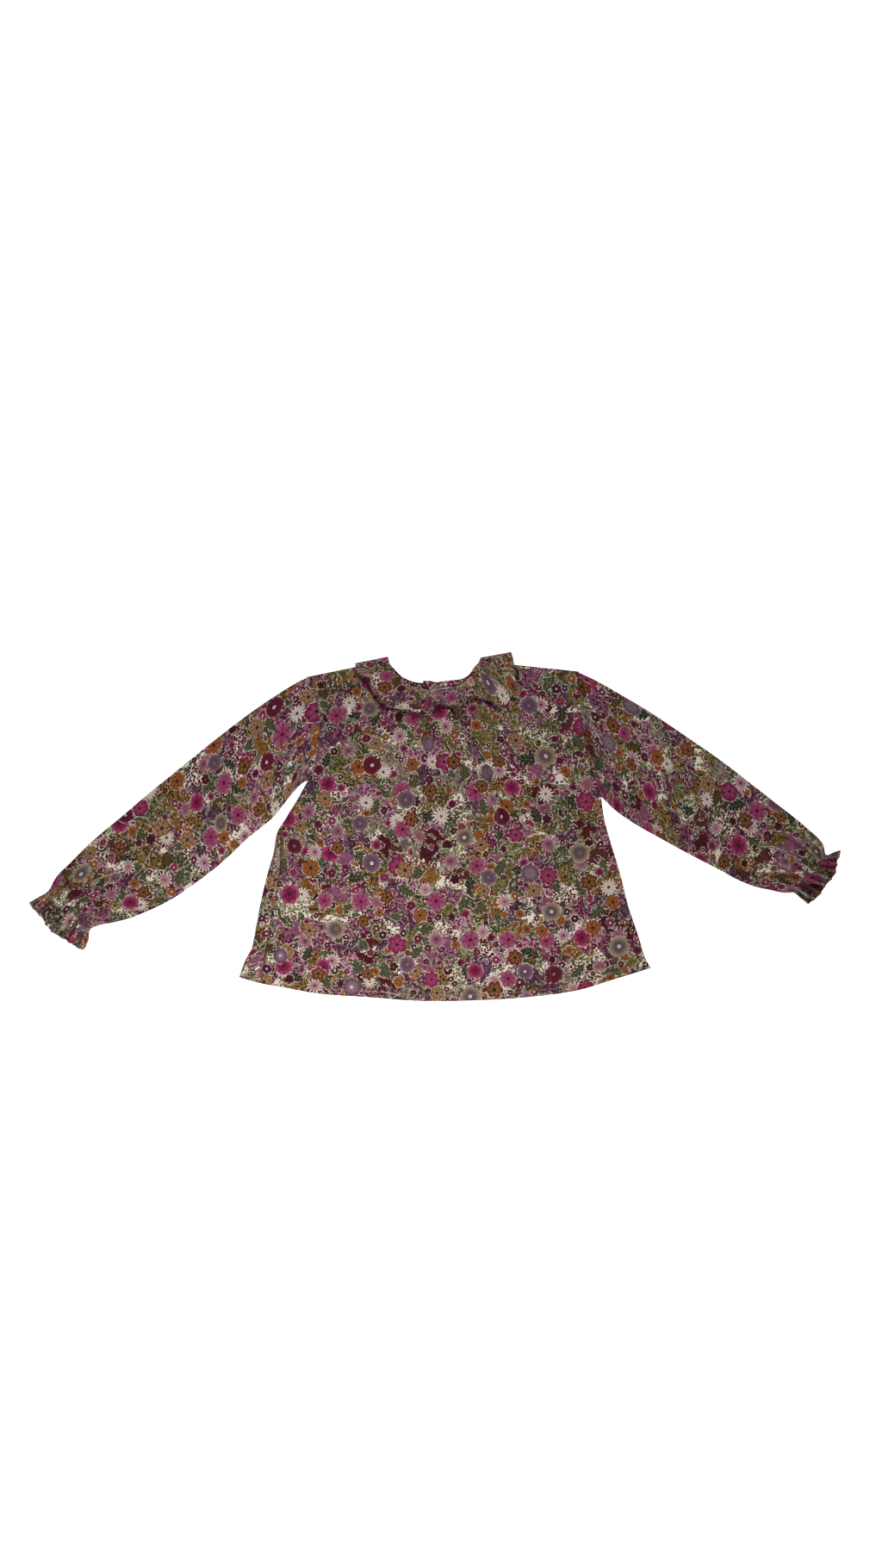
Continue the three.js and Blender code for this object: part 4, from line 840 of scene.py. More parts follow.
# Back, with its slit at the centre and its left edge rolled over to the front's seam
def back_surface():
    runs = (ARMHOLE_LEFT, SIDE_LEFT_BACK, HEM_BACK, SIDE_RIGHT, ARMHOLE_RIGHT)
    inner, outer = panel_columns(runs, BACK_COLUMNS, NECK_BACK)
    side_first = BACK_COLUMNS[0]
    hem_first = side_first + BACK_COLUMNS[1]
    hem_last = hem_first + BACK_COLUMNS[2]
    outward = unit(outer - inner)
    outer = outer.copy()
    # Space for the roll and the hem's turn
    fold = outer[side_first:hem_first + 1].copy()
    seam_x = np.interp(-fold[:, 1], -side_left_line[:, 1], side_left_line[:, 0])
    gap = np.maximum(0.0, seam_x - fold[:, 0])
    gap[:2] = 0
    radius = np.minimum(ROLL_RADIUS, gap * 0.3)
    outer[side_first:hem_first + 1, 0] += radius
    outer[hem_first:hem_last + 1] -= outward[hem_first:hem_last + 1] * HEM_TURN_RADIUS
    # One column runs straight down the slit
    on_hem = np.arange(hem_first, hem_last + 1)
    split = on_hem[np.argmin(np.abs(outer[on_hem, 0] - SLIT_X))]
    neck_at_slit = np.array([SLIT_X, inner[split, 1]])
    fade = np.maximum(0, 1 - np.abs(np.arange(len(outer)) - split) / SLIT_COLUMNS)[:, None]
    inner = inner + (neck_at_slit - inner[split]) * fade
    outer = outer + (np.array([SLIT_X, outer[split, 1]]) - outer[split]) * fade
    rows = np.linspace(0, 1, BACK_ROWS + 1)
    xy = inner[None] + (outer - inner)[None] * rows[:, None, None]
    doubled = np.insert(xy, split, xy[:, split], axis=1)
    slit_bottom = xy[0, split, 1] - SLIT_LENGTH
    y_split = xy[:, split, 1]
    open_by = SLIT_HALF * np.clip((y_split - slit_bottom) / 12, 0, 1)
    doubled[:, split, 0] -= open_by
    doubled[:, split + 1, 0] += open_by
    z = back_height(doubled[..., 0], doubled[..., 1])
    surface = Surface()
    uvs = doubled * MM
    index = surface.add_points(with_height(doubled, z).reshape(-1, 3), uvs.reshape(-1, 2))
    index = index.reshape(doubled.shape[:2])
    closed = open_by <= 0
    index[closed, split + 1] = index[closed, split]
    surface.quads.extend([grid_faces(index[:, :split + 1]), grid_faces(index[:, split + 1:])])
    outward = np.insert(outward, split, outward[split], axis=0)
    # Hem
    columns = np.concatenate([np.arange(hem_first, split + 1), np.arange(split + 2, hem_last + 2)])
    edge = with_height(doubled[-1, columns], z[-1, columns])
    flap = turned_flap(edge, flat(outward[columns]), UP, HEM_TURN_RADIUS, HEM_TURN_DEPTH)
    surface.turn_edge(index[-1, columns], edge, uvs[-1, columns], outward[columns], flap)
    # Armhole allowances
    last = doubled.shape[1] - 1
    for part in (slice(0, BACK_COLUMNS[0] + 1), slice(last - BACK_COLUMNS[4], last + 1)):
        edge = with_height(doubled[-1, part], z[-1, part])
        flap = allowance(edge, flat(outward[part]), UP, BACK_ALLOWANCE)
        surface.turn_edge(index[-1, part], edge, uvs[-1, part], outward[part], flap)
    # Roll: round the fold and back over as far as the seam
    side = np.arange(side_first, hem_first + 1)
    base = doubled[-1, side]
    z0 = z[-1, side]
    rows = []
    row_uvs = []
    for k in range(1, ROLL_TURN_STEPS + 1):
        angle = math.pi * k / ROLL_TURN_STEPS
        x = base[:, 0] - radius * math.sin(angle)
        rise = radius * (1 - math.cos(angle))
        rows.append(np.stack([x, base[:, 1], z0 + rise], axis=1))
        travel = radius * angle
        row_uvs.append(uvs[-1, side] - np.stack([travel, 0 * travel], axis=1) * MM)
    reach = np.maximum(gap - radius - SEAM_GAP, 0.02)
    for k in range(1, ROLL_LEG_STEPS + 1):
        t = k / ROLL_LEG_STEPS
        x = base[:, 0] + reach * t
        down = smooth((reach * t - reach + ROLL_LANDING) / ROLL_LANDING_EASE)
        drop = (2 * radius - EDGE_LOW) * down
        puff = ROLL_PUFF * math.sin(math.pi * t)**0.7 * (1 - down) * smooth(gap / 10)
        sag = ROLL_SAG * np.sin(base[:, 1] / 7.0 + 0.6 * np.sin(base[:, 1] / 17.0)) * math.sin(math.pi * t)
        height = z0 + 2 * radius - drop + puff + sag * smooth(gap / 8)
        rows.append(np.stack([x, base[:, 1], height], axis=1))
        so_far = travel + reach * t
        row_uvs.append(uvs[-1, side] - np.stack([so_far, 0 * so_far], axis=1) * MM)
    surface.add_flap(index[-1, side], rows, row_uvs)
    return surface.finish(CLOTH, flip=True)


def back_height(x, y):
    """Underside of the back's cloth."""
    z = back_bottom(x, y)
    outer_edges = nearest(x, y, [armhole_left_line, armhole_right_line])
    slack = smooth(outer_edges / 30) * smooth(distance_to(x, y, hem_back_line) / 30)
    waves = np.maximum(0, np.sin(x / 31 + 0.8 * np.sin(y / 60)) * np.sin(y / 83 + x / 140 + 0.6))
    z = z + BACK_WAVE * waves * slack
    z = z + UNDER_SEAM_DIP * smooth(1 - outer_edges / SEAM_DIP_REACH)
    along_slit = smooth((y - (SLIT_TOP - SLIT_LENGTH - 8)) / 8)
    from_stitches = np.abs(np.abs(x - SLIT_X) - SLIT_STITCH)
    return z + SLIT_RIDGE * along_slit * smooth(1 - from_stitches / 0.9)


# Sleeves
def sleeve_frame(rows, armhole, side):
    """Splines of a sleeve's sections, the first on the armhole."""
    first = (armhole[0][0] + side * ARMHOLE_CLEAR, armhole[0][1],
             armhole[-1][0] + side * ARMHOLE_CLEAR, armhole[-1][1], 0.0)
    return np.array([first, *rows], float)


def sleeve_place(sections, armhole, station, across):
    """x and y at a station (0 to 14) and a share across it, for arrays of both."""
    shares = station / LAST_SECTION
    top = spline(sections[:, 0:2], shares)[:, None, :]
    bottom = spline(sections[:, 2:4], shares)[:, None, :]
    fade = smooth(1 - station / ARMHOLE_FADE)[:, None, None]
    curved = at_shares(armhole, across)
    ends = np.asarray(armhole, float)
    straight = ends[0] + (ends[-1] - ends[0]) * across[:, None]
    centre = (top + bottom)[:, 0] / 2
    out = unit(np.gradient(centre, axis=0))
    frill = np.clip((station - ELASTIC_SECTION) / (LAST_SECTION - ELASTIC_SECTION), 0, 1)
    swell = FRILL_BULGE * frill[:, None] * np.sin(math.pi * across)[None, :]
    xy = top + (bottom - top) * across[None, :, None] + fade * (curved - straight)[None]
    return xy + swell[..., None] * out[:, None, :], out


def gathers(station, across, centre, elastic_centre, folds):
    """Folds that run up the sleeve from the elastic, and waves of the frill beyond it."""
    distance = np.linalg.norm(centre - elastic_centre, axis=1)[:, None]
    beyond = (station > ELASTIC_SECTION)[:, None]
    pressed = 1 - (1 - ELASTIC_PRESS) * smooth(1 - distance / ELASTIC_HALF)
    total = np.zeros((len(station), len(across)))
    for middle, wide, rise, reach, drift in folds:
        place = middle + drift * distance / 60 * (~beyond)
        spread = wide * (1 + 0.5 * np.minimum(distance / reach, 1) * (~beyond))
        shape = smooth(1 - np.abs(across[None, :] - place) / spread)
        near = smooth(1 - distance / reach) * pressed
        wave = FRILL_WAVE_RISE * (rise / 1.4) * np.minimum(1, 0.3 + distance / FRILL_WAVE_REACH)
        total += np.where(beyond, wave * pressed, rise * near) * shape
    return total


def sleeve_surface(rows, armhole, side, broad, creases, folds, under_folds, uv_shift):
    sections = sleeve_frame(rows, armhole, side)
    body = np.linspace(0, CUFF_SECTION, SLEEVE_BODY_ROWS)
    cuff = np.linspace(CUFF_SECTION, LAST_SECTION, SLEEVE_CUFF_ROWS + 1)[1:]
    station = np.concatenate([body, cuff])
    t = np.linspace(0, 1, SLEEVE_UPPER + 1)
    across_upper = 0.5 * t + 0.5 * (0.5 - 0.5 * np.cos(math.pi * t))
    t = np.linspace(0, 1, SLEEVE_LOWER + 1)
    across_lower = (0.25 * t + 0.75 * (0.5 - 0.5 * np.cos(math.pi * t)))[::-1]
    elastic_at = np.array([ELASTIC_SECTION / LAST_SECTION])
    elastic = (spline(sections[:, 0:2], elastic_at) + spline(sections[:, 2:4], elastic_at))[0] / 2
    shares = station / LAST_SECTION
    centre = (spline(sections[:, 0:2], shares) + spline(sections[:, 2:4], shares)) / 2
    puff = spline(sections[:, 4:5].repeat(2, axis=1), shares)[:, 0:1]
    width = np.linalg.norm(spline(sections[:, 0:2], shares) - spline(sections[:, 2:4], shares), axis=1)
    armhole_line = evenly(armhole, 40)
    layers = []
    for across, upper in ((across_upper, True), (across_lower, False)):
        xy, out = sleeve_place(sections, armhole, station, across)
        x, y = xy[..., 0], xy[..., 1]
        edge = np.minimum(across, 1 - across)[None, :] * width[:, None]
        round_off = quarter(edge / EDGE_ROUND)
        half = SOLID_WALL + SEAM_GAP / 2
        near_edge = np.minimum(across, 1 - across)[None, :]
        from_armhole = distance_to(x, y, armhole_line)
        if upper:
            loose = puff + SLEEVE_LOFT * smooth(station / 3)[:, None] * smooth((11.6 - station) / 2)[:, None]
            loose = loose + CUFF_LOFT * smooth((station - CUFF_START) / 2)[:, None]
            lift = loose * smooth(near_edge / SLEEVE_CROWN)
            rise, start, ramp = RIGHT_HEAD if side > 0 else LEFT_HEAD
            head = smooth((from_armhole - start) / ramp) * smooth(1 - from_armhole / HEAD_REACH)
            lift = lift + rise * head * smooth(near_edge / 0.1)
            inside = smooth(near_edge / SLEEVE_FOLD_EDGE) * smooth(station / 1.5)[:, None]
            lift = lift + broad_folds(broad, x, y) * inside
            creased = crease_height(creases, x, y) * smooth(near_edge / 0.06)
            lift = lift + creased * smooth(station / 0.8)[:, None]
            lift = lift + gathers(station, across, centre, elastic, folds) * smooth(near_edge / 0.03)
            z = half + half * round_off + np.maximum(lift, SLEEVE_LEAST_LIFT)
            z = z - SEAM_DIP * smooth(1 - from_armhole / SEAM_DIP_REACH)
        else:
            lift = gathers(station, across, centre, elastic, under_folds) * smooth(near_edge / 0.03)
            z = half - half * round_off + np.maximum(0, lift)
            z = z + UNDER_SEAM_DIP * smooth(1 - from_armhole / SEAM_DIP_REACH)
        # The frill's edge waves in plan as well
        frill = np.clip((station - ELASTIC_SECTION) / (LAST_SECTION - ELASTIC_SECTION), 0, 1)
        lobes = FRILL_LOBES_RIGHT if side > 0 else FRILL_LOBES_LEFT
        waves = sum(far * smooth(1 - np.abs(across - place) / wide) for place, wide, far in lobes)
        waves = waves * (1 if upper else 1 - 0.5 * np.sin(math.pi * across))
        xy = xy + out[:, None, :] * (frill**1.5)[:, None, None] * waves[None, :, None]
        layers.append(with_height(xy, z))
    upper, lower = layers
    ring = np.concatenate([upper, lower[:, 1:]], axis=1)
    along = lengths_along(centre)
    fullness = 1 + WRIST_FULLNESS * smooth((station - WRIST_FULLNESS_START) / WRIST_FULLNESS_RAMP)
    flat_width = width * fullness
    u_upper = across_upper[None, :] * flat_width[:, None]
    u_lower = (2 - across_lower[1:])[None, :] * flat_width[:, None]
    u = np.concatenate([u_upper, u_lower], axis=1) - flat_width[:, None] / 2
    v = np.repeat(-along[:, None], u.shape[1], axis=1)
    uvs = np.stack([side * u, v], axis=-1) * MM + np.asarray(uv_shift)
    surface = Surface()
    surface.add_grid(ring, uvs)
    return surface.finish(CLOTH, flip=(side > 0)), (station, ring)


# Collar
def collar_grid():
    sections = np.asarray(COLLAR_SECTIONS, float)
    count = (len(sections) - 1) * COLLAR_STEPS
    at = np.linspace(0, 1, count + 1)
    seam = spline(sections[:, [0, 1, 4]], at)
    free = spline(sections[:, [2, 3, 4]], at)
    rise_rows = np.stack([np.arange(len(sections)), sections[:, 5]], axis=1).astype(float)
    rise = COLLAR_LIFT * np.maximum(0, spline(rise_rows, at)[:, 1])
    across = np.linspace(0, 1, COLLAR_ACROSS + 1)
    line = seam[:, None] + (free - seam)[:, None] * across[None, :, None]
    x, y, over = line[..., 0], line[..., 1], line[..., 2]
    above = front_top(x, y) + loft(x, y) + np.maximum(0, crease_height(FRONT_CREASES, x, y))
    above = above + pleat_rise(x, y) + COLLAR_CLEAR + SOLID_WALL / 2
    under = SOLID_WALL / 2
    z = under + (above - under) * over + rise[:, None] * across[None, :] ** COLLAR_FLARE
    along = lengths_along(seam[:, :2])
    ripple = uneven_ripple(along, *COLLAR_RIPPLE_PITCHES)
    fade = smooth(1 - across / 0.75) * smooth(across / 0.03)
    z = z + COLLAR_RIPPLE * ripple[:, None] * fade[None, :] * smooth(over)
    free_along = lengths_along(np.stack([x[:, -1], y[:, -1], z[:, -1]], axis=1))
    u = free_along[:, None] * (1 - COLLAR_SEAM_EASE * (1 - across[None, :]))
    v = -across[None, :] * COLLAR_DEPTH + 0 * u
    uvs = np.stack([u, v], axis=-1) * MM + np.array(COLLAR_ON_PRINT)
    return np.stack([x, y, z], axis=-1), uvs, over[:, 0]


def thick_strip(grid, uvs, thickness):
    """A grid of middle points thickened to both sides."""
    surface = Surface()
    surface.add_grid(grid, uvs)
    points = np.vstack(surface.points)
    faces = np.vstack(surface.quads)[:, ::-1]
    points = points + vertex_normals(points, faces) * (thickness / 2)
    return shell(points, faces, np.vstack(surface.uvs), thickness)


# Binding
def binding_path():
    low = COLLAR_UNDER_HEIGHT + SEAM_GAP + BINDING_WALL / 2
    high = low + BINDING_WALL + BINDING_TURN_GAP
    fine = np.linspace(0, 1, 2001)
    curves = {}
    for name, rows in (("back", NECK_BACK), ("front", NECK_FRONT)):
        points = at_shares(rows, fine)
        curves[name] = (points, away_from_neck(points, fine), lengths_along(points)[-1])
    stations = []

    def at(name, share):
        points, away, _ = curves[name]
        p = np.array([np.interp(share, fine, points[:, k]) for k in range(2)])
        a = np.array([np.interp(share, fine, away[:, k]) for k in range(2)])
        return p, a / np.linalg.norm(a)

    def add(name, share, z, lift):
        p, a = at(name, share)
        p[1] += LAP_SHIFT * lift
        stations.append((p, a, z + (BINDING_WALL + SEAM_GAP) * lift))

    def turn(name, share, start, end):
        radius = (high - low) / 2
        for k in range(1, BINDING_TURN_STEPS):
            angle = math.pi * k / BINDING_TURN_STEPS
            p, a = at(name, share)
            p[1] += radius * math.sin(angle)
            stations.append((p, a, start + (end - start) * (1 - math.cos(angle)) / 2))

    length = curves["back"][2]
    for t in np.linspace(0, 1, BINDING_STEPS + 1):
        add("back", CENTRE_BACK * (1 - t), low, 0)
    turn("back", 0, low, high)
    for t in np.linspace(0, 1, 2 * BINDING_STEPS + 1):
        add("front", t, high, 0)
    turn("back", 1, high, low)
    last = CENTRE_BACK - LAP_LENGTH / length
    for t in np.linspace(0, 1, BINDING_STEPS + 1):
        share = 1 + (last - 1) * t
        add("back", share, low, float(smooth(1 - (share - CENTRE_BACK) / (LAP_RISE / length))))
    middle = np.array([[*p, z] for p, a, z in stations])
    across = np.array([[*a, 0.0] for p, a, z in stations])
    return middle, across


def binding_surface():
    middle, across = binding_path()
    tangent = unit(np.gradient(middle, axis=0))
    up = unit(np.cross(tangent, across))
    section = np.array(BINDING_SECTION)
    grid = middle[:, None] + across[:, None] * section[None, :, 0:1] + up[:, None] * section[None, :, 1:2]
    along = lengths_along(middle)
    round_section = lengths_along(section)
    diagonal = math.sqrt(0.5)
    u = along[:, None] * diagonal + round_section[None, :] * diagonal
    v = along[:, None] * diagonal - round_section[None, :] * diagonal
    uvs = np.stack([u, v], axis=-1) * MM + np.array(BINDING_ON_PRINT)
    surface = Surface()
    surface.add_grid(grid, uvs)
    return surface.finish(0.3), (middle, across, up), (round_section[-1] * MM, along[-1] * MM)


# Stitches: each one a small capsule that lies along a line
def stitch_points(path, start, length, radius, up):
    """Rings of points of one stitch on a path of x, y, z."""
    along = lengths_along(path[:, :2])
    shares = start + length * np.array([0.0, 0.12, 0.5, 0.88, 1.0])
    line = np.stack([np.interp(shares, along, path[:, k]) for k in range(3)], axis=1)
    direction = unit((line[-1] - line[0])[:2])
    side = np.array([-direction[1], direction[0], 0.0])
    sizes = radius * np.array([0.35, 0.9, 1.0, 0.9, 0.35])
    lift = radius * np.array([-0.6, 0.2, 0.45, 0.2, -0.6])
    angle = 2 * math.pi * np.arange(STITCH_SIDES) / STITCH_SIDES
    ring = side * np.cos(angle)[:, None] + UP * up * np.sin(angle)[:, None]
    return line[:, None] + UP * up * lift[:, None, None] + ring[None] * sizes[:, None, None]


def stitch_mesh(name, rows, length, gap, radius, material):
    """One piece with the stitches of several rows, each a path of x, y, z and which way is out."""
    points, faces = [], []
    n = STITCH_SIDES
    for path, up in rows:
        total = lengths_along(path[:, :2])[-1]
        for start in np.arange(gap, total - length, length + gap):
            first = len(points) * 5 * n
            points.append(stitch_points(path, start, length, radius, up).reshape(-1, 3))
            faces.extend(ring_quads(5, n, first))
            faces.append(tuple(first + k for k in reversed(range(n))))
            faces.append(tuple(first + 4 * n + k for k in range(n)))
    points = np.vstack(points)
    return mesh_object(name, points, faces, points[:, :2] * MM, [material])


def offset_line(rows, inward, count):
    """The curve moved sideways by inward (+ is left of its run)."""
    line = evenly(rows, count)
    tangent = unit(np.gradient(line, axis=0))
    return line + np.stack([-tangent[:, 1], tangent[:, 0]], axis=1) * inward


def on_surface(line, height):
    return np.column_stack([line, height(line[:, 0], line[:, 1])])


# Button: two holes sewn through, seen from below, where its dished face is
def tube(path, radius, sides=8):
    """Points and quads of a closed tube along a path of x, y, z."""
    path = np.asarray(path, float)
    tangent = unit(np.gradient(path, axis=0))
    level = np.where(np.abs(tangent[:, 2:3]) > 0.9, [[1.0, 0.0, 0.0]], [[0.0, 0.0, 1.0]])
    side = unit(np.cross(tangent, level))
    other = np.cross(tangent, side)
    angle = 2 * math.pi * np.arange(sides) / sides
    ring = side[:, None] * np.cos(angle)[None, :, None] + other[:, None] * np.sin(angle)[None, :, None]
    points = (path[:, None] + ring * radius).reshape(-1, 3)
    faces = ring_quads(len(path), sides)
    faces.append(tuple(reversed(range(sides))))
    faces.append(tuple((len(path) - 1) * sides + k for k in range(sides)))
    return points, faces


def button_object(name, material):
    angle = 2 * math.pi * np.arange(BUTTON_SIDES) / BUTTON_SIDES
    rings = [(r * np.cos(angle), r * np.sin(angle), np.full(BUTTON_SIDES, z)) for r, z in BUTTON_PROFILE]
    points = [np.stack(ring, axis=1) for ring in rings]
    points = np.vstack([*points, [[0, 0, BUTTON_PROFILE[0][1]], [0, 0, BUTTON_PROFILE[-1][1]]]])
    n, last = BUTTON_SIDES, len(BUTTON_PROFILE) - 1
    faces = ring_quads(last + 1, n)
    face_centre, top_centre = (last + 1) * n, (last + 1) * n + 1
    for k in range(n):
        faces.append((face_centre, (k + 1) % n, k))
        faces.append((top_centre, last * n + k, last * n + (k + 1) % n))
    points = points + np.array([SLIT_X, BUTTON_Y, SEAM_GAP])
    button = mesh_object(name, points, faces, points[:, :2] * MM, [material])
    for hole in BUTTON_HOLES:
        x, y = SLIT_X + hole, BUTTON_Y
        path = [(x, y, SEAM_GAP - 1), (x, y, SEAM_GAP + 1), (x, y, SEAM_GAP + 3)]
        hole_points, hole_faces = tube(path, BUTTON_HOLE_RADIUS, 24)
        cutter = mesh_object("hole", hole_points, hole_faces, hole_points[:, :2] * MM, [])
        cut = button.modifiers.new("hole", "BOOLEAN")
        cut.operation = "DIFFERENCE"
        cut.solver = "EXACT"
        cut.object = cutter
        bpy.context.view_layer.update()
        shape = button.evaluated_get(bpy.context.evaluated_depsgraph_get())
        mesh = bpy.data.meshes.new_from_object(shape)
        button.modifiers.clear()
        button.data = mesh
        bpy.data.objects.remove(cutter)
    button.data.set_sharp_from_angle(angle=math.radians(40))
    return button


def button_thread(name, material):
    """Thread over the bar between the two holes and up to the cloth, three strands side by side."""
    points, faces = [], []
    for strand in BUTTON_STRANDS:
        low_z = SEAM_GAP + BUTTON_PROFILE[0][1] - 0.12
        high_z = SEAM_GAP + BUTTON_PROFILE[-1][1] + 0.2
        left, right = SLIT_X + BUTTON_HOLES[0], SLIT_X + BUTTON_HOLES[1]
        y = BUTTON_Y + strand
        path = [
            (left, y, high_z), (left, y, low_z + 0.35), (left + 0.18, y, low_z + 0.06), (SLIT_X, y, low_z),
            (right - 0.18, y, low_z + 0.06), (right, y, low_z + 0.35), (right, y, high_z),
        ]
        bar_points, bar_faces = tube(at_shares(path, np.linspace(0, 1, 24)), BUTTON_THREAD_RADIUS)
        first = sum(len(part) for part in points)
        points.append(bar_points)
        faces.extend(tuple(first + k for k in face) for face in bar_faces)
    points = np.vstack(points)
    return mesh_object(name, points, faces, points[:, :2] * MM, [material])


def wrist_folds(seed, count, rise_scale, reach_scale):
    """Main and small folds at a wrist: place across, half width, rise, reach and drift of each."""
    random = np.random.default_rng(seed)
    folds = []
    for across, wide, rise, reach in WRIST_GATHERS:
        drift = random.uniform(-0.03, 0.03)
        folds.append((
            across + random.uniform(-0.012, 0.012), wide * 0.55, rise * 2.3 * rise_scale,
            reach * 1.15 * reach_scale, drift))
    for k in range(count):
        across = (k + 0.5) / count + random.uniform(-0.018, 0.018)
        folds.append((
            across, random.uniform(0.016, 0.03), random.uniform(0.5, 1.1) * rise_scale,
            random.uniform(10, 30) * reach_scale, random.uniform(-0.03, 0.03),
        ))
    return folds


# Materials
class Graph:
    """Short calls for a material's nodes."""

    def __init__(self, tree):
        self.tree = tree

    def put(self, socket, value):
        if isinstance(value, bpy.types.NodeSocket):
            self.tree.links.new(value, socket)
        elif isinstance(value, tuple) and len(value) == 3 and len(socket.default_value) == 4:
            socket.default_value = (*value, 1)
        else:
            socket.default_value = value

    def math(self, operation, *values, clamp=False):
        node = self.tree.nodes.new("ShaderNodeMath")
        node.operation = operation
        node.use_clamp = clamp
        for socket, value in zip(node.inputs, values):
            self.put(socket, value)
        return node.outputs[0]

    def add(self, a, b):
        return self.math("ADD", a, b)

    def times(self, a, b):
        return self.math("MULTIPLY", a, b)

    def between(self, share, low, high):
        """low + share * (high - low)."""
        return self.math("MULTIPLY_ADD", share, high - low, low)

    def fraction(self, a, factor, b, factor_b):
        """A further random number from two others."""
        return self.math("FRACT", self.add(self.times(a, factor), self.times(b, factor_b)))

    def step(self, value, low, high):
        """0 at low to 1 at high, smoothly; high may be under low."""
        node = self.tree.nodes.new("ShaderNodeMapRange")
        node.interpolation_type = "SMOOTHSTEP"
        self.put(node.inputs["Value"], value)
        swap = low > high
        node.inputs["From Min"].default_value = min(low, high)
        node.inputs["From Max"].default_value = max(low, high)
        node.inputs["To Min"].default_value = 1.0 if swap else 0.0
        node.inputs["To Max"].default_value = 0.0 if swap else 1.0
        return node.outputs["Result"]

    def vector(self, operation, a, b=None, scale=None):
        node = self.tree.nodes.new("ShaderNodeVectorMath")
        node.operation = operation
        self.put(node.inputs[0], a)
        if b is not None:
            self.put(node.inputs[1], b)
        if scale is not None:
            self.put(node.inputs["Scale"], scale)
        return node.outputs["Value"] if operation in ("LENGTH", "DOT_PRODUCT") else node.outputs["Vector"]

    def parts(self, vector):
        node = self.tree.nodes.new("ShaderNodeSeparateXYZ")
        self.put(node.inputs[0], vector)
        return node.outputs[0], node.outputs[1]

    def join(self, x, y):
        node = self.tree.nodes.new("ShaderNodeCombineXYZ")
        self.put(node.inputs[0], x)
        self.put(node.inputs[1], y)
        return node.outputs[0]

    def join_grey(self, value):
        node = self.tree.nodes.new("ShaderNodeCombineColor")
        for socket in node.inputs:
            self.put(socket, value)
        return node.outputs[0]

    def mix(self, share, a, b, blend="MIX"):
        node = self.tree.nodes.new("ShaderNodeMix")
        node.data_type = "RGBA"
        node.blend_type = blend
        self.put(node.inputs["Factor"], share)
        self.put(node.inputs[6], a)
        self.put(node.inputs[7], b)
        return node.outputs[2]

    def pick(self, value, colours):
        """One of the colours, by a random number from 0 to 1."""
        if len(set(colours)) == 1:
            return colours[0]
        node = self.tree.nodes.new("ShaderNodeValToRGB")
        ramp = node.color_ramp
        ramp.interpolation = "CONSTANT"
        while len(ramp.elements) < len(colours):
            ramp.elements.new(0.5)
        for k, colour in enumerate(colours):
            ramp.elements[k].position = k / len(colours)
        for k, colour in enumerate(colours):
            ramp.elements[k].color = (*colour, 1)
        self.put(node.inputs[0], value)
        return node.outputs[0]

    def cells(self, place, size, jitter, shift, turn=0.0):
        """Nearest point of a jittered grid.

        Gives the place seen from it in mm, its distance, three random numbers and the point.
        """
        mapping = self.tree.nodes.new("ShaderNodeMapping")
        mapping.inputs["Location"].default_value = (shift, shift * 0.61, 0)
        mapping.inputs["Rotation"].default_value = (0, 0, turn)
        mapping.inputs["Scale"].default_value = (1 / size, 1 / size, 1 / size)
        self.put(mapping.inputs["Vector"], place)
        scaled = mapping.outputs[0]
        node = self.tree.nodes.new("ShaderNodeTexVoronoi")
        node.voronoi_dimensions = "2D"
        node.feature = "F1"
        self.put(node.inputs["Vector"], scaled)
        node.inputs["Scale"].default_value = 1
        node.inputs["Randomness"].default_value = jitter
        local = self.vector("SCALE", self.vector("SUBTRACT", scaled, node.outputs["Position"]), scale=size)
        far = self.times(node.outputs["Distance"], size)
        split = self.tree.nodes.new("ShaderNodeSeparateColor")
        self.put(split.inputs[0], node.outputs["Color"])
        return local, far, split.outputs, node.outputs["Position"]

    def noise(self, place, size, detail=2.0, rough=0.5, dims="2D"):
        node = self.tree.nodes.new("ShaderNodeTexNoise")
        node.noise_dimensions = dims
        self.put(node.inputs["Vector"], place)
        node.inputs["Scale"].default_value = 1 / size
        node.inputs["Detail"].default_value = detail
        node.inputs["Roughness"].default_value = rough
        return node.outputs


def drift(graph, place, size, most):
    """The place moved by up to about most in mm, smoothly."""
    split = graph.tree.nodes.new("ShaderNodeSeparateColor")
    graph.put(split.inputs[0], graph.noise(place, size, 1.0)["Color"])
    x, y = graph.between(split.outputs[0], -most, most), graph.between(split.outputs[1], -most, most)
    return graph.vector("ADD", place, graph.join(x, y))


def new_material(name):
    """A material, the calls for its nodes, and its shader."""
    material = bpy.data.materials.new(name)
    material.use_nodes = True
    tree = material.node_tree
    return material, Graph(tree), tree.nodes["Principled BSDF"]


def object_place(graph):
    """The place on the object, in mm."""
    coordinates = graph.tree.nodes.new("ShaderNodeTexCoord")
    return graph.vector("SCALE", coordinates.outputs["Object"], scale=1 / MM)


def emboss(graph, shader, height, strength, depth):
    """Fine relief; depth in metres."""
    bump = graph.tree.nodes.new("ShaderNodeBump")
    bump.inputs["Strength"].default_value = strength
    bump.inputs["Distance"].default_value = depth
    graph.put(bump.inputs["Height"], height)
    graph.tree.links.new(bump.outputs["Normal"], shader.inputs["Normal"])


def set_inputs(shader, **values):
    for name, value in values.items():
        shader.inputs[name.replace("_", " ")].default_value = value


def srgb(text):
    values = [int(text[k:k + 2], 16) / 255 for k in (0, 2, 4)]
    return tuple(v / 12.92 if v <= 0.04045 else ((v + 0.055) / 1.055) ** 2.4 for v in values)


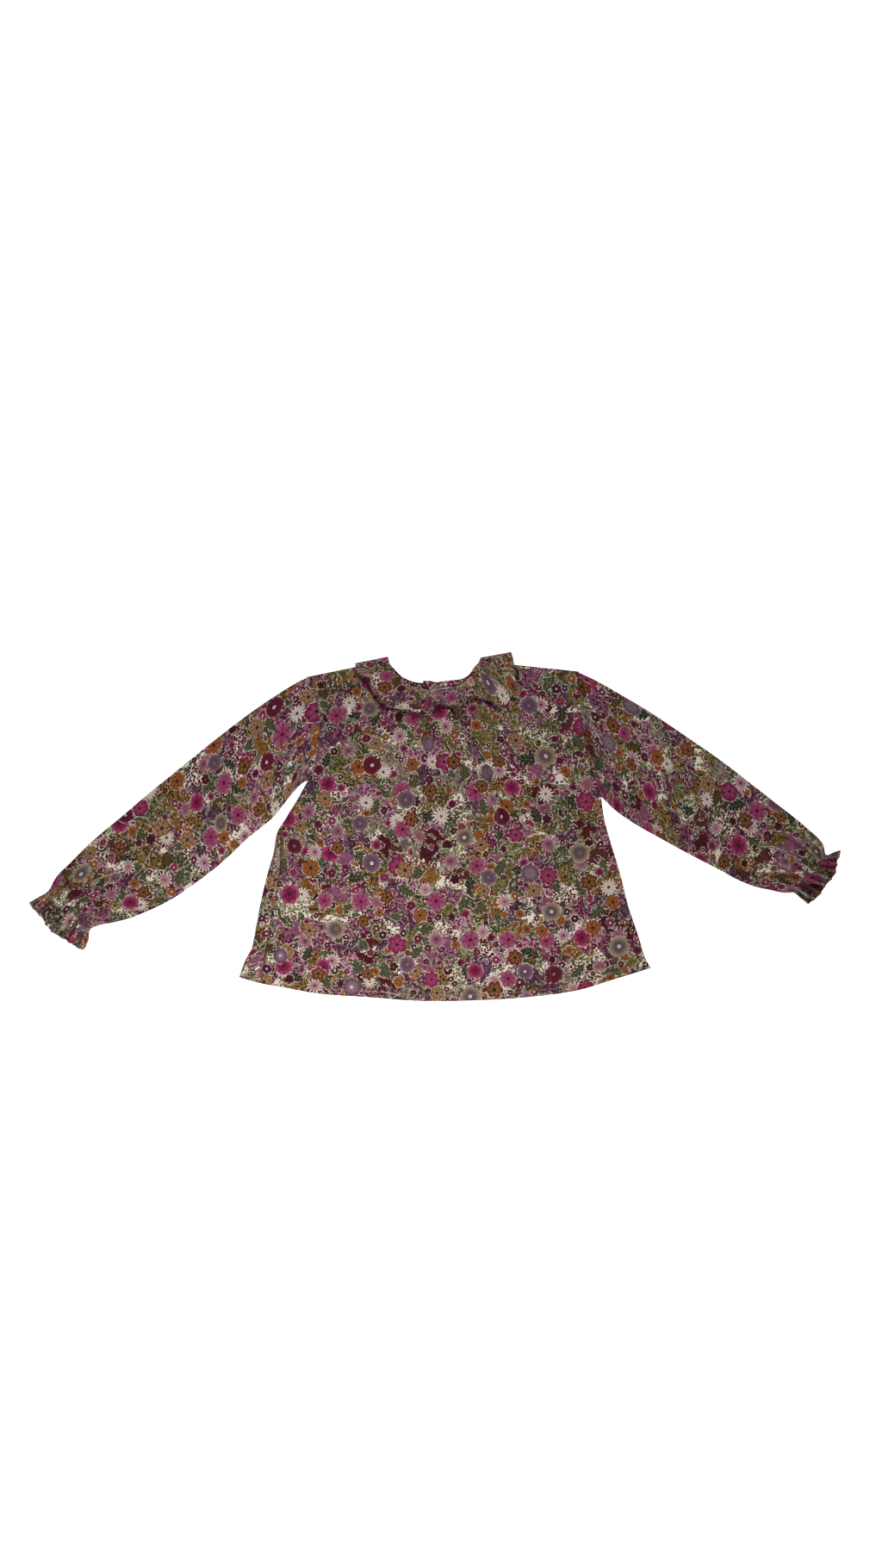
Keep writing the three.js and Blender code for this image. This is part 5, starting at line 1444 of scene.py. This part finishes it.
GROUND = srgb("e4dbd5")
OLIVE = srgb("4f5139")
DARK_OLIVE = srgb("33352a")
PALE_OLIVE = srgb("7f8064")
CHARTREUSE = srgb("8c865c")
MUSTARD = srgb("987440")
OCHRE = srgb("6e4f22")
DUSTY_PINK = srgb("a06a84")
PALE_PINK = srgb("c494a8")
PINK = srgb("b0537f")
MAGENTA = srgb("8e2458")
DEEP_MAGENTA = srgb("651541")
DARK_RED = srgb("6a1a28")
WINE = srgb("420f1e")
MAUVE = srgb("775b70")
PALE_MAUVE = srgb("9a8496")
BEIGE = srgb("a3967f")
ORANGE = srgb("a05a2a")
RUST = srgb("7c3620")
PLUM = srgb("4d1738")
GOLD = srgb("b06a2c")

# Heads of tiny florets: the florets, their eyes and darker ones, and what shows between them
HEADS = [
    (CHARTREUSE, OCHRE, DARK_OLIVE), (DUSTY_PINK, DEEP_MAGENTA, PLUM), (DARK_RED, WINE, GROUND),
    (MAUVE, PLUM, WINE), (MUSTARD, RUST, OCHRE), (CHARTREUSE, OLIVE, OCHRE),
    (DUSTY_PINK, MAUVE, PLUM), (OLIVE, DARK_OLIVE, PALE_OLIVE), (DUSTY_PINK, MAGENTA, MAUVE),
    (CHARTREUSE, MUSTARD, DARK_OLIVE), (DEEP_MAGENTA, WINE, DUSTY_PINK), (BEIGE, OLIVE, MAUVE),
    (MUSTARD, OCHRE, DARK_OLIVE), (DARK_RED, WINE, WINE), (DUSTY_PINK, PLUM, WINE),
    (OCHRE, WINE, OLIVE), (CHARTREUSE, OLIVE, GROUND), (MAUVE, DEEP_MAGENTA, PLUM),
    (MUSTARD, CHARTREUSE, WINE), (PALE_PINK, MAUVE, DEEP_MAGENTA), (DARK_RED, DEEP_MAGENTA, OLIVE),
]


def blossom(graph, place, grid, radii, petals, notch, blunt, veins, heart, outer, inner, lines, hearts):
    """A layer of flowers: cover, pale outline and colour."""
    size, jitter, shift, turn, present = grid
    local, far, random, _ = graph.cells(place, size, jitter, shift, turn)
    r1, r2, r3 = random[0], random[1], random[2]
    r4 = graph.fraction(r1, 7.31, r2, 3.17)
    r5 = graph.fraction(r2, 5.73, r3, 4.29)
    x, y = graph.parts(local)
    radius = graph.between(r4, *radii)
    angle = graph.add(graph.math("ARCTAN2", y, x), graph.times(r5, 6.283))
    count = graph.math("ROUND", graph.between(r3, *petals))
    swing = graph.math("ABSOLUTE", graph.math("COSINE", graph.times(graph.times(count, 0.5), angle)))
    wave = graph.math("POWER", swing, blunt)
    hollow = graph.math("SUBTRACT", 1.0, wave)
    shallow = graph.add(graph.times(hollow, graph.between(r5, -notch[0], -notch[1])), 1.0)
    inside = graph.math("SUBTRACT", graph.times(radius, shallow), far)
    there = graph.math("LESS_THAN", r2, present)
    cover = graph.times(graph.step(inside, -0.1, 0.2), there)
    halo = graph.times(graph.step(inside, -1.3, -0.7), there)
    share = graph.math("DIVIDE", far, radius)
    line_colour = graph.pick(r1, lines)
    colour = graph.mix(graph.step(share, 0.4, 0.85), graph.pick(r1, inner), graph.pick(r1, outer))
    parting = graph.times(graph.step(swing, 0.42, 0.12), graph.step(share, heart, heart * 1.6))
    rim = graph.times(graph.step(inside, 0.8, 0.25), 0.7)
    ray = graph.math("ABSOLUTE", graph.math("SINE", graph.times(graph.times(count, veins), angle)))
    rays = graph.times(graph.step(ray, 0.6, 0.15), graph.step(share, 1.0, 0.35))
    colour = graph.mix(graph.math("MAXIMUM", graph.math("MAXIMUM", parting, rim), rays), colour, line_colour)
    eye = graph.step(share, heart * 1.1, heart * 0.85)
    colour = graph.mix(eye, colour, graph.pick(r5, hearts))
    dot = graph.step(share, heart * 0.45, heart * 0.3)
    colour = graph.mix(dot, colour, line_colour)
    return cover, halo, colour


def leaves(graph, place, grid, lengths, slim, lobes, bend, colours):
    """A layer of leaves with pale midribs and lobed edges: cover, pale outline and colour."""
    size, jitter, shift, turn, present = grid
    local, far, random, _ = graph.cells(place, size, jitter, shift, turn)
    r1, r2, r3 = random[0], random[1], random[2]
    angle = graph.times(r3, 6.283)
    x, y = graph.parts(local)
    cosine, sine = graph.math("COSINE", angle), graph.math("SINE", angle)
    along = graph.add(graph.times(x, cosine), graph.times(y, sine))
    aside = graph.math("SUBTRACT", graph.times(y, cosine), graph.times(x, sine))
    aside = graph.add(aside, graph.times(graph.times(along, along), bend))
    length = graph.between(r1, *lengths)
    t = graph.math("DIVIDE", along, length)
    profile = graph.math("SUBTRACT", 1.0, graph.times(t, t))
    across = graph.math("ABSOLUTE", aside)
    slanted = graph.math("SUBTRACT", graph.times(t, lobes), graph.times(across, lobes * 0.07))
    lobe = graph.math("ABSOLUTE", graph.math("SINE", slanted))
    half = graph.times(graph.times(graph.times(length, slim), profile), graph.between(lobe, 0.42, 1.0))
    inside = graph.math("SUBTRACT", half, across)
    there = graph.math("LESS_THAN", r2, present)
    cover = graph.times(graph.step(inside, -0.1, 0.2), there)
    halo = graph.times(graph.step(inside, -1.3, -0.7), there)
    colour = graph.pick(graph.fraction(r1, 5.1, r3, 3.3), colours)
    rib = graph.step(across, 0.5, 0.2)
    veins = graph.times(graph.step(lobe, 0.35, 0.1), 0.5)
    colour = graph.mix(graph.math("MAXIMUM", graph.times(rib, 0.7), veins), colour, PALE_OLIVE)
    return cover, halo, colour


def florets(graph, place, size, shift):
    """Tiny round florets side by side in heads of one colour each."""
    local, far, random, spot = graph.cells(place, size, 0.8, shift)
    # The head is looked up at the floret's own point, so that no floret has two colours
    point = graph.vector("SCALE", graph.vector("SUBTRACT", spot, (shift, shift * 0.61, 0)), scale=size)
    moved = graph.vector("MULTIPLY", drift(graph, point, 13.0, 7.5), (0.85, 1.1, 1))
    _, head_far, head, _ = graph.cells(moved, 22.0, 0.9, 3.7)
    pale = graph.pick(head[0], [row[0] for row in HEADS])
    dark = graph.pick(head[0], [row[1] for row in HEADS])
    between = graph.pick(head[0], [row[2] for row in HEADS])
    x, y = graph.parts(local)
    wave = graph.math("ABSOLUTE", graph.math("COSINE", graph.times(graph.math("ARCTAN2", y, x), 2.5)))
    edge = graph.times(graph.between(wave, 0.8, 1.0), graph.between(random[0], size * 0.44, size * 0.66))
    cover = graph.step(graph.math("SUBTRACT", edge, far), -0.1, 0.25)
    eye = graph.step(far, size * 0.2, size * 0.1)
    shade = graph.mix(graph.times(graph.step(random[2], 0.45, 1.0), 0.8), pale, dark)
    shade = graph.mix(graph.times(eye, 0.8), shade, dark)
    # Bare ground shows only towards the outside of the heads
    limit = graph.between(random[1], 13.0, 24.0)
    there = graph.step(graph.math("SUBTRACT", limit, head_far), -0.05, 0.05)
    base = graph.mix(graph.step(head_far, 16.0, 14.0), GROUND, between)
    return graph.mix(graph.times(cover, there), base, shade)


def meadow(graph, place):
    """The printed pattern: a dense mix of small and large flowers and leaves on an off-white ground."""
    warped = drift(graph, place, 15.0, 1.5)
    colour = florets(graph, warped, 2.9, 1.3)
    broken = graph.times(graph.step(graph.noise(place, 4.0, 1.0)["Fac"], 0.42, 0.52), 0.6)
    # Each layer's grid: cell size, jitter, shift, turn and share of cells filled. Then, for leaves,
    # lengths, slimness, lobes, bend and colours. For flowers, radii, petals, notch, bluntness, veins
    # and heart size, then their colours: outer, inner, lines and hearts.
    layers = [
        (leaves, (12.0, 0.7, 5.3, 0.4, 0.6), (4.5, 6.5), 0.36, 5.0, 0.02,
            [OLIVE, DARK_OLIVE, OLIVE, PALE_OLIVE]),
        (blossom, (11.0, 0.6, 2.9, 0.9, 0.45), (2.6, 4.4), (5, 5), (0.5, 0.3), 0.5, 1.0, 0.28,
            [MAGENTA, DARK_RED, MUSTARD, DUSTY_PINK, RUST, DEEP_MAGENTA, DARK_RED],
            [DEEP_MAGENTA, WINE, OCHRE, MAGENTA, WINE, PLUM, WINE],
            [WINE, WINE, RUST, PLUM, WINE, PLUM, WINE],
            [MUSTARD, GROUND, PALE_PINK, GROUND]),
        (leaves, (31.0, 0.6, 9.7, 0.25, 0.6), (10.0, 14.0), 0.55, 7.5, 0.006,
            [OLIVE, DARK_OLIVE, OLIVE]),
        (blossom, (20.0, 0.5, 6.1, 1.3, 0.52), (4.2, 6.4), (5, 7), (0.55, 0.2), 0.5, 1.5, 0.22,
            [ORANGE, MAGENTA, DUSTY_PINK, MUSTARD, DARK_RED, DEEP_MAGENTA, PINK],
            [MUSTARD, DEEP_MAGENTA, MAGENTA, ORANGE, WINE, PLUM, MAGENTA],
            [RUST, PLUM, DEEP_MAGENTA, RUST, WINE, PLUM, DEEP_MAGENTA],
            [WINE, MUSTARD, PLUM, GROUND]),
        (leaves, (30.0, 0.6, 14.3, 1.9, 0.5), (9.0, 13.0), 0.2, 3.0, 0.03,
            [OLIVE, PALE_OLIVE, DARK_OLIVE]),
        (blossom, (42.0, 0.45, 4.4, 0.6, 0.5), (8.0, 10.5), (12, 16), (0.75, 0.6), 1.1, 1.0, 0.18,
            [GROUND, PALE_PINK, GROUND],
            [PALE_PINK, DUSTY_PINK, GROUND],
            [DEEP_MAGENTA, PLUM, DEEP_MAGENTA],
            [MUSTARD, OLIVE]),
        (blossom, (43.0, 0.45, 8.2, 1.6, 0.45), (9.0, 12.0), (5, 9), (0.4, 0.12), 0.5, 2.0, 0.18,
            [PINK, DUSTY_PINK, MAGENTA],
            [MAGENTA, PINK, PINK],
            [DEEP_MAGENTA, DEEP_MAGENTA, PLUM],
            [PLUM, WINE]),
        (blossom, (41.0, 0.45, 12.9, 2.3, 0.5), (7.5, 10.5), (5, 7), (0.45, 0.25), 0.5, 1.5, 0.22,
            [ORANGE, RUST, MUSTARD],
            [MUSTARD, MUSTARD, BEIGE],
            [RUST, WINE, RUST],
            [PLUM, WINE]),
        (blossom, (60.0, 0.5, 17.7, 2.8, 0.55), (9.0, 12.0), (17, 23), (0.3, 0.1), 0.6, 1.0, 0.18,
            [MAUVE, BEIGE, MAUVE, DARK_RED],
            [PLUM, MAUVE, PALE_MAUVE, WINE],
            [PALE_MAUVE, OLIVE, PLUM, MAGENTA],
            [PALE_OLIVE, GROUND]),
    ]
    for layer, *settings in layers:
        cover, halo, shade = layer(graph, warped, *settings)
        colour = graph.mix(graph.times(halo, broken), colour, GROUND)
        colour = graph.mix(cover, colour, shade)
    gamma = graph.tree.nodes.new("ShaderNodeGamma")
    gamma.inputs["Gamma"].default_value = PRINT_CONTRAST
    graph.put(gamma.inputs["Color"], colour)
    colour = gamma.outputs[0]
    # The ink lies unevenly
    grain = graph.between(graph.noise(place, 0.9, 2.0)["Fac"], 0.6, 1.4)
    return graph.mix(1.0, colour, graph.join_grey(grain), "MULTIPLY")


def printed_cotton(name):
    material, graph, shader = new_material(name)
    uv = graph.tree.nodes.new("ShaderNodeUVMap")
    uv.uv_map = "flat_cut"
    place = graph.vector("SCALE", uv.outputs[0], scale=1 / MM)
    colour = graph.mix(1.0, meadow(graph, place), PRINT_TINT, "MULTIPLY")
    x, y = graph.parts(place)
    # Thin gold threads in the weave, which show in dashes
    across = graph.math("FRACT", graph.times(x, 1 / GOLD_SPACING))
    column = graph.math("ABSOLUTE", graph.math("SUBTRACT", across, 0.5))
    stretched = graph.join(graph.times(x, 0.2), graph.times(y, 0.05))
    dashes = graph.step(graph.noise(stretched, 1.0, 1.0)["Fac"], 0.5, 0.62)
    gold = graph.times(graph.step(column, 0.016, 0.006), graph.times(dashes, 0.7))
    colour = graph.mix(gold, colour, GOLD)
    warp = graph.math("SINE", graph.times(x, 2 * math.pi / WEAVE_PITCH))
    weft = graph.math("SINE", graph.times(y, 2 * math.pi / WEAVE_PITCH))
    weave = graph.times(warp, weft)
    slub = graph.noise(graph.join(graph.times(x, 0.12), graph.times(y, 1.6)), 1.0, 2.0)["Fac"]
    tone = graph.add(graph.times(weave, 0.06), graph.between(slub, -0.1, 0.1))
    colour = graph.mix(1.0, colour, graph.join_grey(graph.add(tone, 1.0)), "MULTIPLY")
    # The reverse is the same cloth, paler by this node's factor
    graph.put(shader.inputs["Base Color"], graph.mix(0.0, colour, GROUND))
    graph.tree.nodes[-1].name = "reverse_share"
    emboss(graph, shader, graph.add(weave, graph.times(slub, 1.4)), 0.35, 0.00008)
    graph.put(shader.inputs["Roughness"], graph.between(slub, 0.78, 0.92))
    set_inputs(shader, Sheen_Weight=0.12, Sheen_Roughness=0.5, Specular_IOR_Level=0.25)
    return material


def sewing_thread(name, pale, dark):
    """Twisted cotton thread: slanting plies and uneven dye."""
    material, graph, shader = new_material(name)
    place = object_place(graph)
    x, y = graph.parts(place)
    ply = graph.between(graph.math("SINE", graph.times(graph.add(x, y), 2 * math.pi / 0.5)), 0.5, 1.0)
    dye = graph.noise(place, 1.7, 2.0, dims="3D")["Fac"]
    graph.put(shader.inputs["Base Color"], graph.mix(graph.times(ply, dye), dark, pale))
    emboss(graph, shader, ply, 0.5, 0.00006)
    graph.put(shader.inputs["Roughness"], graph.between(dye, 0.55, 0.8))
    set_inputs(shader, Sheen_Weight=0.2)
    return material


def shell_button(name):
    """Polished shell: pale, faintly banded, with darker growth lines."""
    material, graph, shader = new_material(name)
    place = object_place(graph)
    cloud = graph.noise(place, 2.6, 3.0, dims="3D")["Fac"]
    x, y = graph.parts(place)
    slanted = graph.times(graph.add(x, graph.times(y, 0.4)), 3.1)
    bands = graph.math("SINE", graph.add(slanted, graph.times(cloud, 9.0)))
    colour = graph.mix(graph.step(cloud, 0.35, 0.7), srgb("e2d8c8"), srgb("cdbfae"))
    colour = graph.mix(graph.times(graph.step(bands, 0.6, 1.0), 0.35), colour, srgb("a99a8c"))
    graph.put(shader.inputs["Base Color"], colour)
    graph.put(shader.inputs["Roughness"], graph.between(cloud, 0.18, 0.36))
    emboss(graph, shader, bands, 0.2, 0.00005)
    set_inputs(shader, Coat_Weight=0.4, Coat_Roughness=0.12)
    return material


printed = printed_cotton("printed_cotton")
reverse = printed.copy()
reverse.name = "printed_cotton_reverse"
reverse.node_tree.nodes["reverse_share"].inputs["Factor"].default_value = REVERSE_SHARE
tan_thread = sewing_thread("tan_thread", srgb("dcc8a8"), srgb("b08f66"))
plum_thread = sewing_thread("plum_thread", srgb("8c5f6b"), srgb("4c2b38"))
button_shell = shell_button("button_shell")


# Pieces
def cloth_piece(name, node, shape, inner_material):
    """The cloth that stands for a node, and the numbers of its flat cut in metres."""
    points, faces, uvs, kinds = shape
    piece = mesh_object(name, points, faces, uvs, [printed, inner_material], kinds)
    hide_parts(node)
    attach(piece, "root")
    cut = uvs[faces[kinds == 0]]
    first, second = cut[:, 2] - cut[:, 0], cut[:, 3] - cut[:, 1]
    area = 0.5 * np.abs(first[:, 0] * second[:, 1] - first[:, 1] * second[:, 0]).sum()
    span = cut.reshape(-1, 2).max(axis=0) - cut.reshape(-1, 2).min(axis=0)
    return piece, (float(span[0]), float(span[1]), float(area))


def sewing(name, rows, thread, scale=1.0):
    """Stitches along rows of points, each with the side that is out."""
    piece = stitch_mesh(name, rows, STITCH_LENGTH * scale, STITCH_GAP, STITCH_RADIUS * scale, thread)
    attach(piece, "root")
    return piece


front_cloth, front_cut = cloth_piece("front_cloth", "front", front_surface(), reverse)
back_cloth, back_cut = cloth_piece("back_cloth", "back", back_surface(), reverse)
shape, left_rings = sleeve_surface(
    SLEEVE_LEFT_SECTIONS, ARMHOLE_LEFT, -1, SLEEVE_LEFT_FOLDS, SLEEVE_LEFT_CREASES,
    wrist_folds(5, 15, 1.35, 1.0), wrist_folds(6, 12, 0.3, 0.8), SLEEVE_LEFT_ON_PRINT)
sleeve_left_cloth, sleeve_left_cut = cloth_piece(
    "sleeve_left_cloth", "sleeve_left", shape, reverse)
shape, right_rings = sleeve_surface(
    SLEEVE_RIGHT_SECTIONS, ARMHOLE_RIGHT[::-1], 1, SLEEVE_RIGHT_FOLDS, SLEEVE_RIGHT_CREASES,
    wrist_folds(8, 15, 1.15, 1.0), wrist_folds(9, 12, 0.3, 0.8), SLEEVE_RIGHT_ON_PRINT)
sleeve_right_cloth, sleeve_right_cut = cloth_piece(
    "sleeve_right_cloth", "sleeve_right", shape, reverse)
collar_points, collar_uvs, collar_over = collar_grid()
shape = thick_strip(collar_points, collar_uvs, CLOTH)
collar_cloth, collar_cut = cloth_piece(
    "ruffle_collar_cloth", "ruffle_collar", shape, reverse)
shape, binding_frame, (strip_width, strip_length) = binding_surface()
binding_cloth, _ = cloth_piece("neck_binding_cloth", "neck_binding", shape, printed)

# Sewing
hem_row = on_surface(offset_line(HEM_FRONT, HEM_STITCH, HEM_ROW_STEPS), front_height)
back_hem_row = on_surface(offset_line(HEM_BACK, HEM_STITCH, HEM_ROW_STEPS), back_height)
hem_stitches = sewing("hem_stitches", [(hem_row, 1)], tan_thread)
slit_low = NECK_BACK[4][1] - BINDING_WIDTH - SLIT_LENGTH - 1.5
slit_top = NECK_BACK[4][1] - BINDING_WIDTH - 0.5
slit_heights = [slit_top, (slit_low + slit_top) / 2, slit_low]
slit_down = [(SLIT_X - SLIT_STITCH, y) for y in slit_heights]
slit_up = [(SLIT_X + SLIT_STITCH, y) for y in reversed(slit_heights)]
slit_row = on_surface(evenly(slit_down + slit_up, SLIT_ROW_STEPS), back_height)
back_stitches = sewing("back_stitches", [(back_hem_row, -1), (slit_row, -1)], tan_thread)


def cuff_rows(rings):
    """Two rows of stitches along the elastic, on the upper and the lower layer."""
    station, ring = rings
    rows = []
    for past in CUFF_STITCH_ROWS:
        k = int(np.argmin(np.abs(station - (ELASTIC_SECTION + past))))
        rows.append((ring[k, 3:SLEEVE_UPPER - 2], 1))
        rows.append((ring[k, SLEEVE_UPPER + 3:-2], -1))
    return rows


left_cuff_stitches = sewing("left_cuff_stitches", cuff_rows(left_rings), plum_thread)
right_cuff_stitches = sewing("right_cuff_stitches", cuff_rows(right_rings), plum_thread)

collar_line = collar_points[:, -2]
turn_start, turn_end = np.flatnonzero(collar_over > 0.97)[[0, -1]]
lift = np.array([0, 0, CLOTH / 2])
collar_rows = [
    (collar_line[turn_start:turn_end] + lift, 1),
    (collar_line[:turn_start - COLLAR_TURN_ROWS] - lift, -1),
    (collar_line[turn_end + COLLAR_TURN_ROWS:] - lift, -1),
]
collar_stitches = sewing("collar_stitches", collar_rows, plum_thread, FINE_STITCH)

middle, across, up = binding_frame
binding_line = middle + across * BINDING_STITCH - up * 0.6
on_front = np.flatnonzero(up[:, 2] < -0.9)
on_back = np.flatnonzero(up[:, 2] > 0.9)
binding_rows = [
    (binding_line[on_front], 1),
    (binding_line[on_back[on_back < on_front[0]]], -1),
    (binding_line[on_back[on_back > on_front[-1]]], -1),
]
binding_stitches = sewing("binding_stitches", binding_rows, plum_thread, FINE_STITCH)

button = button_object("button", button_shell)
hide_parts("back_neck_button")
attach(button, "root")
thread_bar = button_thread("button_thread", tan_thread)
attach(thread_bar, "root")

# Camera, straight down
camera_data = bpy.data.cameras.new("camera")
camera_data.sensor_width = SENSOR_MM
camera_data.lens = SENSOR_MM * CAMERA_DISTANCE / IMAGE_HEIGHT_M
camera_data.clip_start = 0.05
camera_data.clip_end = 20
bpy.context.scene.camera = placed("camera", camera_data, (*CAMERA_TARGET, CAMERA_DISTANCE))

# Floor
corners = [(-1, -1, 0), (1, -1, 0), (1, 1, 0), (-1, 1, 0)]
floor_mesh = bpy.data.meshes.new("floor")
floor_mesh.from_pydata([(x * FLOOR_HALF, y * FLOOR_HALF, z) for x, y, z in corners], [], [(0, 1, 2, 3)])
floor = placed("floor", floor_mesh, (0, 0, -FLOOR_BELOW))
floor_material, _, floor_shader = new_material("white_table")
set_inputs(
    floor_shader, Base_Color=(0.93, 0.93, 0.93, 1), Roughness=0.9,
    Emission_Color=(1, 1, 1, 1), Emission_Strength=FLOOR_GLOW)
floor_mesh.materials.append(floor_material)

# Light
sun = bpy.data.lights.new("key_light", "SUN")
sun.energy = KEY_ENERGY
sun.angle = math.radians(KEY_SOFTNESS)
placed("key_light", sun, turn=[math.radians(angle) for angle in KEY_TURN])
lamp = bpy.data.lights.new("hem_light", "AREA")
lamp.shape = "RECTANGLE"
lamp.size, lamp.size_y = HEM_LAMP_SIZE
lamp.energy = HEM_POWER
aim = np.subtract(HEM_LAMP_TARGET, HEM_LAMP_PLACE)
tilt = math.acos(-aim[2] / np.linalg.norm(aim))
placed("hem_light", lamp, HEM_LAMP_PLACE, (tilt, 0, math.atan2(aim[1], aim[0]) - math.pi / 2))
world = bpy.data.worlds.new("world")
world.use_nodes = True
set_inputs(world.node_tree.nodes["Background"], Color=(1, 1, 1, 1), Strength=WORLD_STRENGTH)
bpy.context.scene.world = world
bpy.context.scene.view_settings.view_transform = "Standard"
